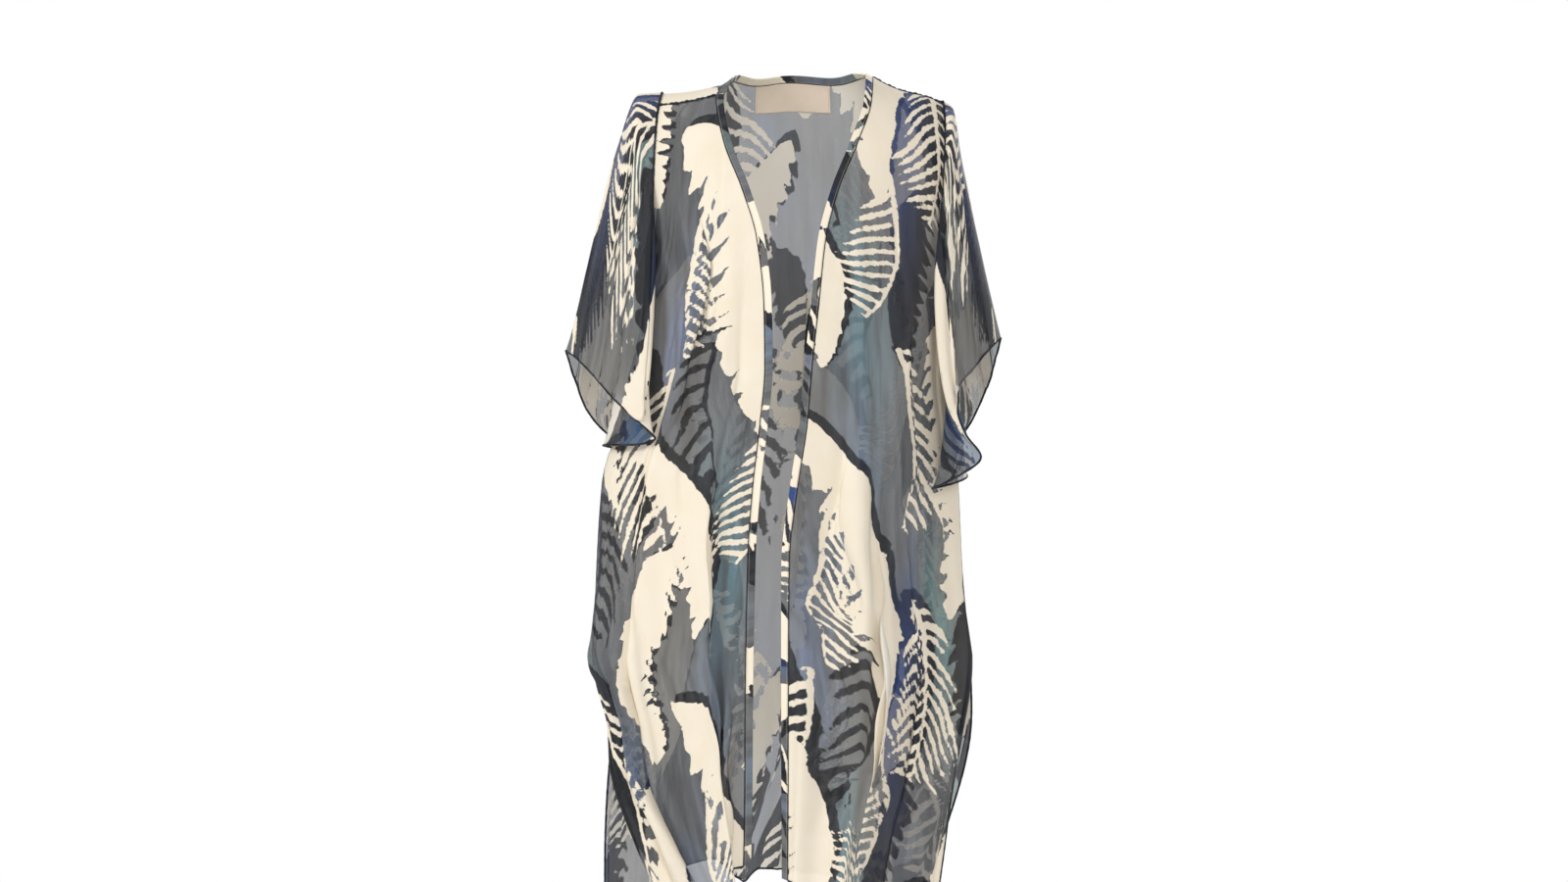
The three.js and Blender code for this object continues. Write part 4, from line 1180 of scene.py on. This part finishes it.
# satin floats run across the label; drawn at 0.5 mm
label_floats = add(
    label_satin,
    "TexWave",
    {"bands_direction": "Y"},
    Vector=label_cut,
    Scale=WAVE_REPEAT / FLOAT_APART,
    Distortion=1,
).outputs["Fac"]
mottle(label_satin, label_shader, label_cut, 70, 3, ("#f1dcc5", "#f9e9d6"))
label_bump = add(label_satin, "Bump", Height=label_floats, Strength=0.25, Distance=0.0003)
label_satin.node_tree.links.new(label_bump.outputs[0], label_shader.inputs["Normal"])


def label_cloth(across, down):
    first, last, whole = NECK_COLUMNS
    u = ((first + last - LABEL_COLUMNS) / 2 + across * LABEL_COLUMNS) / whole
    v = down * LABEL_ROWS / (ROWS["back"] + ROWS["bend"] + ROWS["below"])
    along = back_form(u + SLOPE_STEP, v) - back_form(u - SLOPE_STEP, v)
    inside = unit(np.cross(back_form(u, v + SLOPE_STEP) - back_form(u, v), along))
    return back_form(u, v) + inside * LABEL_DEPTH


label, label_points = sew("label", label_cloth, 96, 34, from_axis, thick=LABEL_THICK)
label.data.materials.append(label_satin)
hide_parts("neck_label")

# Stitches
# Lock stitches in a warm grey polyester thread run along the bands, a little in from the seam, and round the
# label. They are drawn 2.4 mm long, as sewn.
STITCH_LONG, STITCH_GAP, STITCH_WIDE, STITCH_HIGH = 2.4, 0.8, 0.4, 0.3
# the share of its size that a stitch keeps at the top, and how far the bands' stitches lie off their middle
STITCH_TAPER, STITCH_LIFT = 0.55, 0.75

thread, thread_shader = new_material("spun polyester thread", Roughness=0.6)
thread_place = add(thread, "TexCoord").outputs["Object"]
mottle(thread, thread_shader, thread_place, 400, 2, ("#8d8577", "#c4bba9"))


def stitches(name, path, facing):
    """A row of stitches along a path, each a small rounded bar that lies on the cloth."""
    way = np.concatenate([[0], np.cumsum(np.linalg.norm(np.diff(path, axis=0), axis=-1))])
    count = int(way[-1] // (STITCH_LONG + STITCH_GAP))
    bm = bmesh.new()
    for number in range(count):
        ends = [(number + 0.5) * way[-1] / count + part * STITCH_LONG / 2 for part in (-1, 1)]
        a, b, up = (
            np.array([np.interp(at, way, grid[:, axis]) for axis in range(3)])
            for at, grid in ((ends[0], path), (ends[1], path), (sum(ends) / 2, facing))
        )
        along, up = Vector(b - a), Vector(up).normalized()
        aside = along.cross(up).normalized()
        bar = bmesh.ops.create_cube(bm, size=1)["verts"]
        for vertex in bar:
            x, y, z = vertex.co
            round_in = STITCH_TAPER if z > 0 else 1
            place = Vector((a + b) / 2) + along * x * round_in + aside * y * STITCH_WIDE * round_in
            vertex.co = (place + up * z * STITCH_HIGH) * MM
    piece = finish_piece(name, bm)
    piece.data.materials.append(thread)
    return piece


for side in ("right", "left"):
    grid = band_points[side]
    out = facing_out(grid, from_axis)
    raised = grid[:, 1] + out[:, 1] * STITCH_LIFT
    trims[side].append(stitches(f"stitches_band_{side}", raised, out[:, 1]))
out = facing_out(neck_band_points, from_axis)
inner = [grid[-2] for grid in (neck_band_points - out * STITCH_LIFT, -out)]
trims["back"].append(stitches("stitches_neck", *inner))
out = -facing_out(label_points, from_axis)
raised = label_points + out * (LABEL_THICK / 2 + 0.1)
border = [
    np.concatenate([grid[1, 2:-2], grid[1:-1, -3], grid[-2, -3:1:-1], grid[-2:0:-1, 2]])
    for grid in (raised, out)
]
label_stitches = stitches("stitches_label", *border)

# Floor, light and camera
# A plain white studio: a round pale matt floor well below the hem, soft light from all round with a broad
# key from the upper left, and a camera level with the middle of the garment.
FLOOR_HEIGHT, FLOOR_RADIUS = -1.42, 2.1
ALL_ROUND = 0.64
# the photograph's 1600 pixels span 2 m where the garment hangs
CAMERA_AWAY, SEEN_WIDTH, SENSOR_WIDTH = 3.1, 2.0, 36

bm = bmesh.new()
bmesh.ops.create_circle(bm, cap_ends=True, segments=96, radius=FLOOR_RADIUS)
bmesh.ops.translate(bm, verts=bm.verts, vec=(0, 0, FLOOR_HEIGHT))
floor_mesh = bpy.data.meshes.new("floor")
bm.to_mesh(floor_mesh)
bm.free()
floor = bpy.data.objects.new("floor", floor_mesh)
bpy.context.scene.collection.objects.link(floor)
floor_paint, _ = new_material("matt white board", Roughness=0.9, Base_Color=linear("#f6f6f5"))
floor.data.materials.append(floor_paint)

world = bpy.data.worlds.new("studio")
bpy.context.scene.world = world
world.use_nodes = True
sky = world.node_tree.nodes["Background"]
sky.inputs["Color"].default_value = (1, 1, 1, 1)
# the white behind the garment shows as pure white, while the light that it throws on the cloth is softer
seen = add(world, "LightPath").outputs["Is Camera Ray"]
seen = add(world, "MapRange", Value=seen, _3=ALL_ROUND, _4=1).outputs[0]
world.node_tree.links.new(seen, sky.inputs["Strength"])
for name, place, size, power in (
    ("key", (-2.4, -1.6, 0.8), 1.0, 40),
    ("front", (0.4, -3.3, 0.6), 1.4, 33),
    ("rim", (0.9, 2.6, 0.8), 1.8, 60),
):
    lamp = bpy.data.lights.new(name, "AREA")
    lamp.shape, lamp.size, lamp.energy = "DISK", size, power
    light = bpy.data.objects.new(name, lamp)
    light.location = place
    light.rotation_euler = (Vector((0, 0, -0.45)) - Vector(place)).to_track_quat("-Z", "Y").to_euler()
    bpy.context.scene.collection.objects.link(light)

camera = bpy.data.objects.new("camera", bpy.data.cameras.new("camera"))
camera.location = (-0.0075, -CAMERA_AWAY, -0.44125)
camera.rotation_euler = (math.pi / 2, 0, 0)
camera.data.sensor_width = SENSOR_WIDTH
camera.data.lens = SENSOR_WIDTH * CAMERA_AWAY / SEEN_WIDTH
bpy.context.scene.collection.objects.link(camera)
bpy.context.scene.camera = camera
bpy.context.scene.view_settings.view_transform = "Standard"
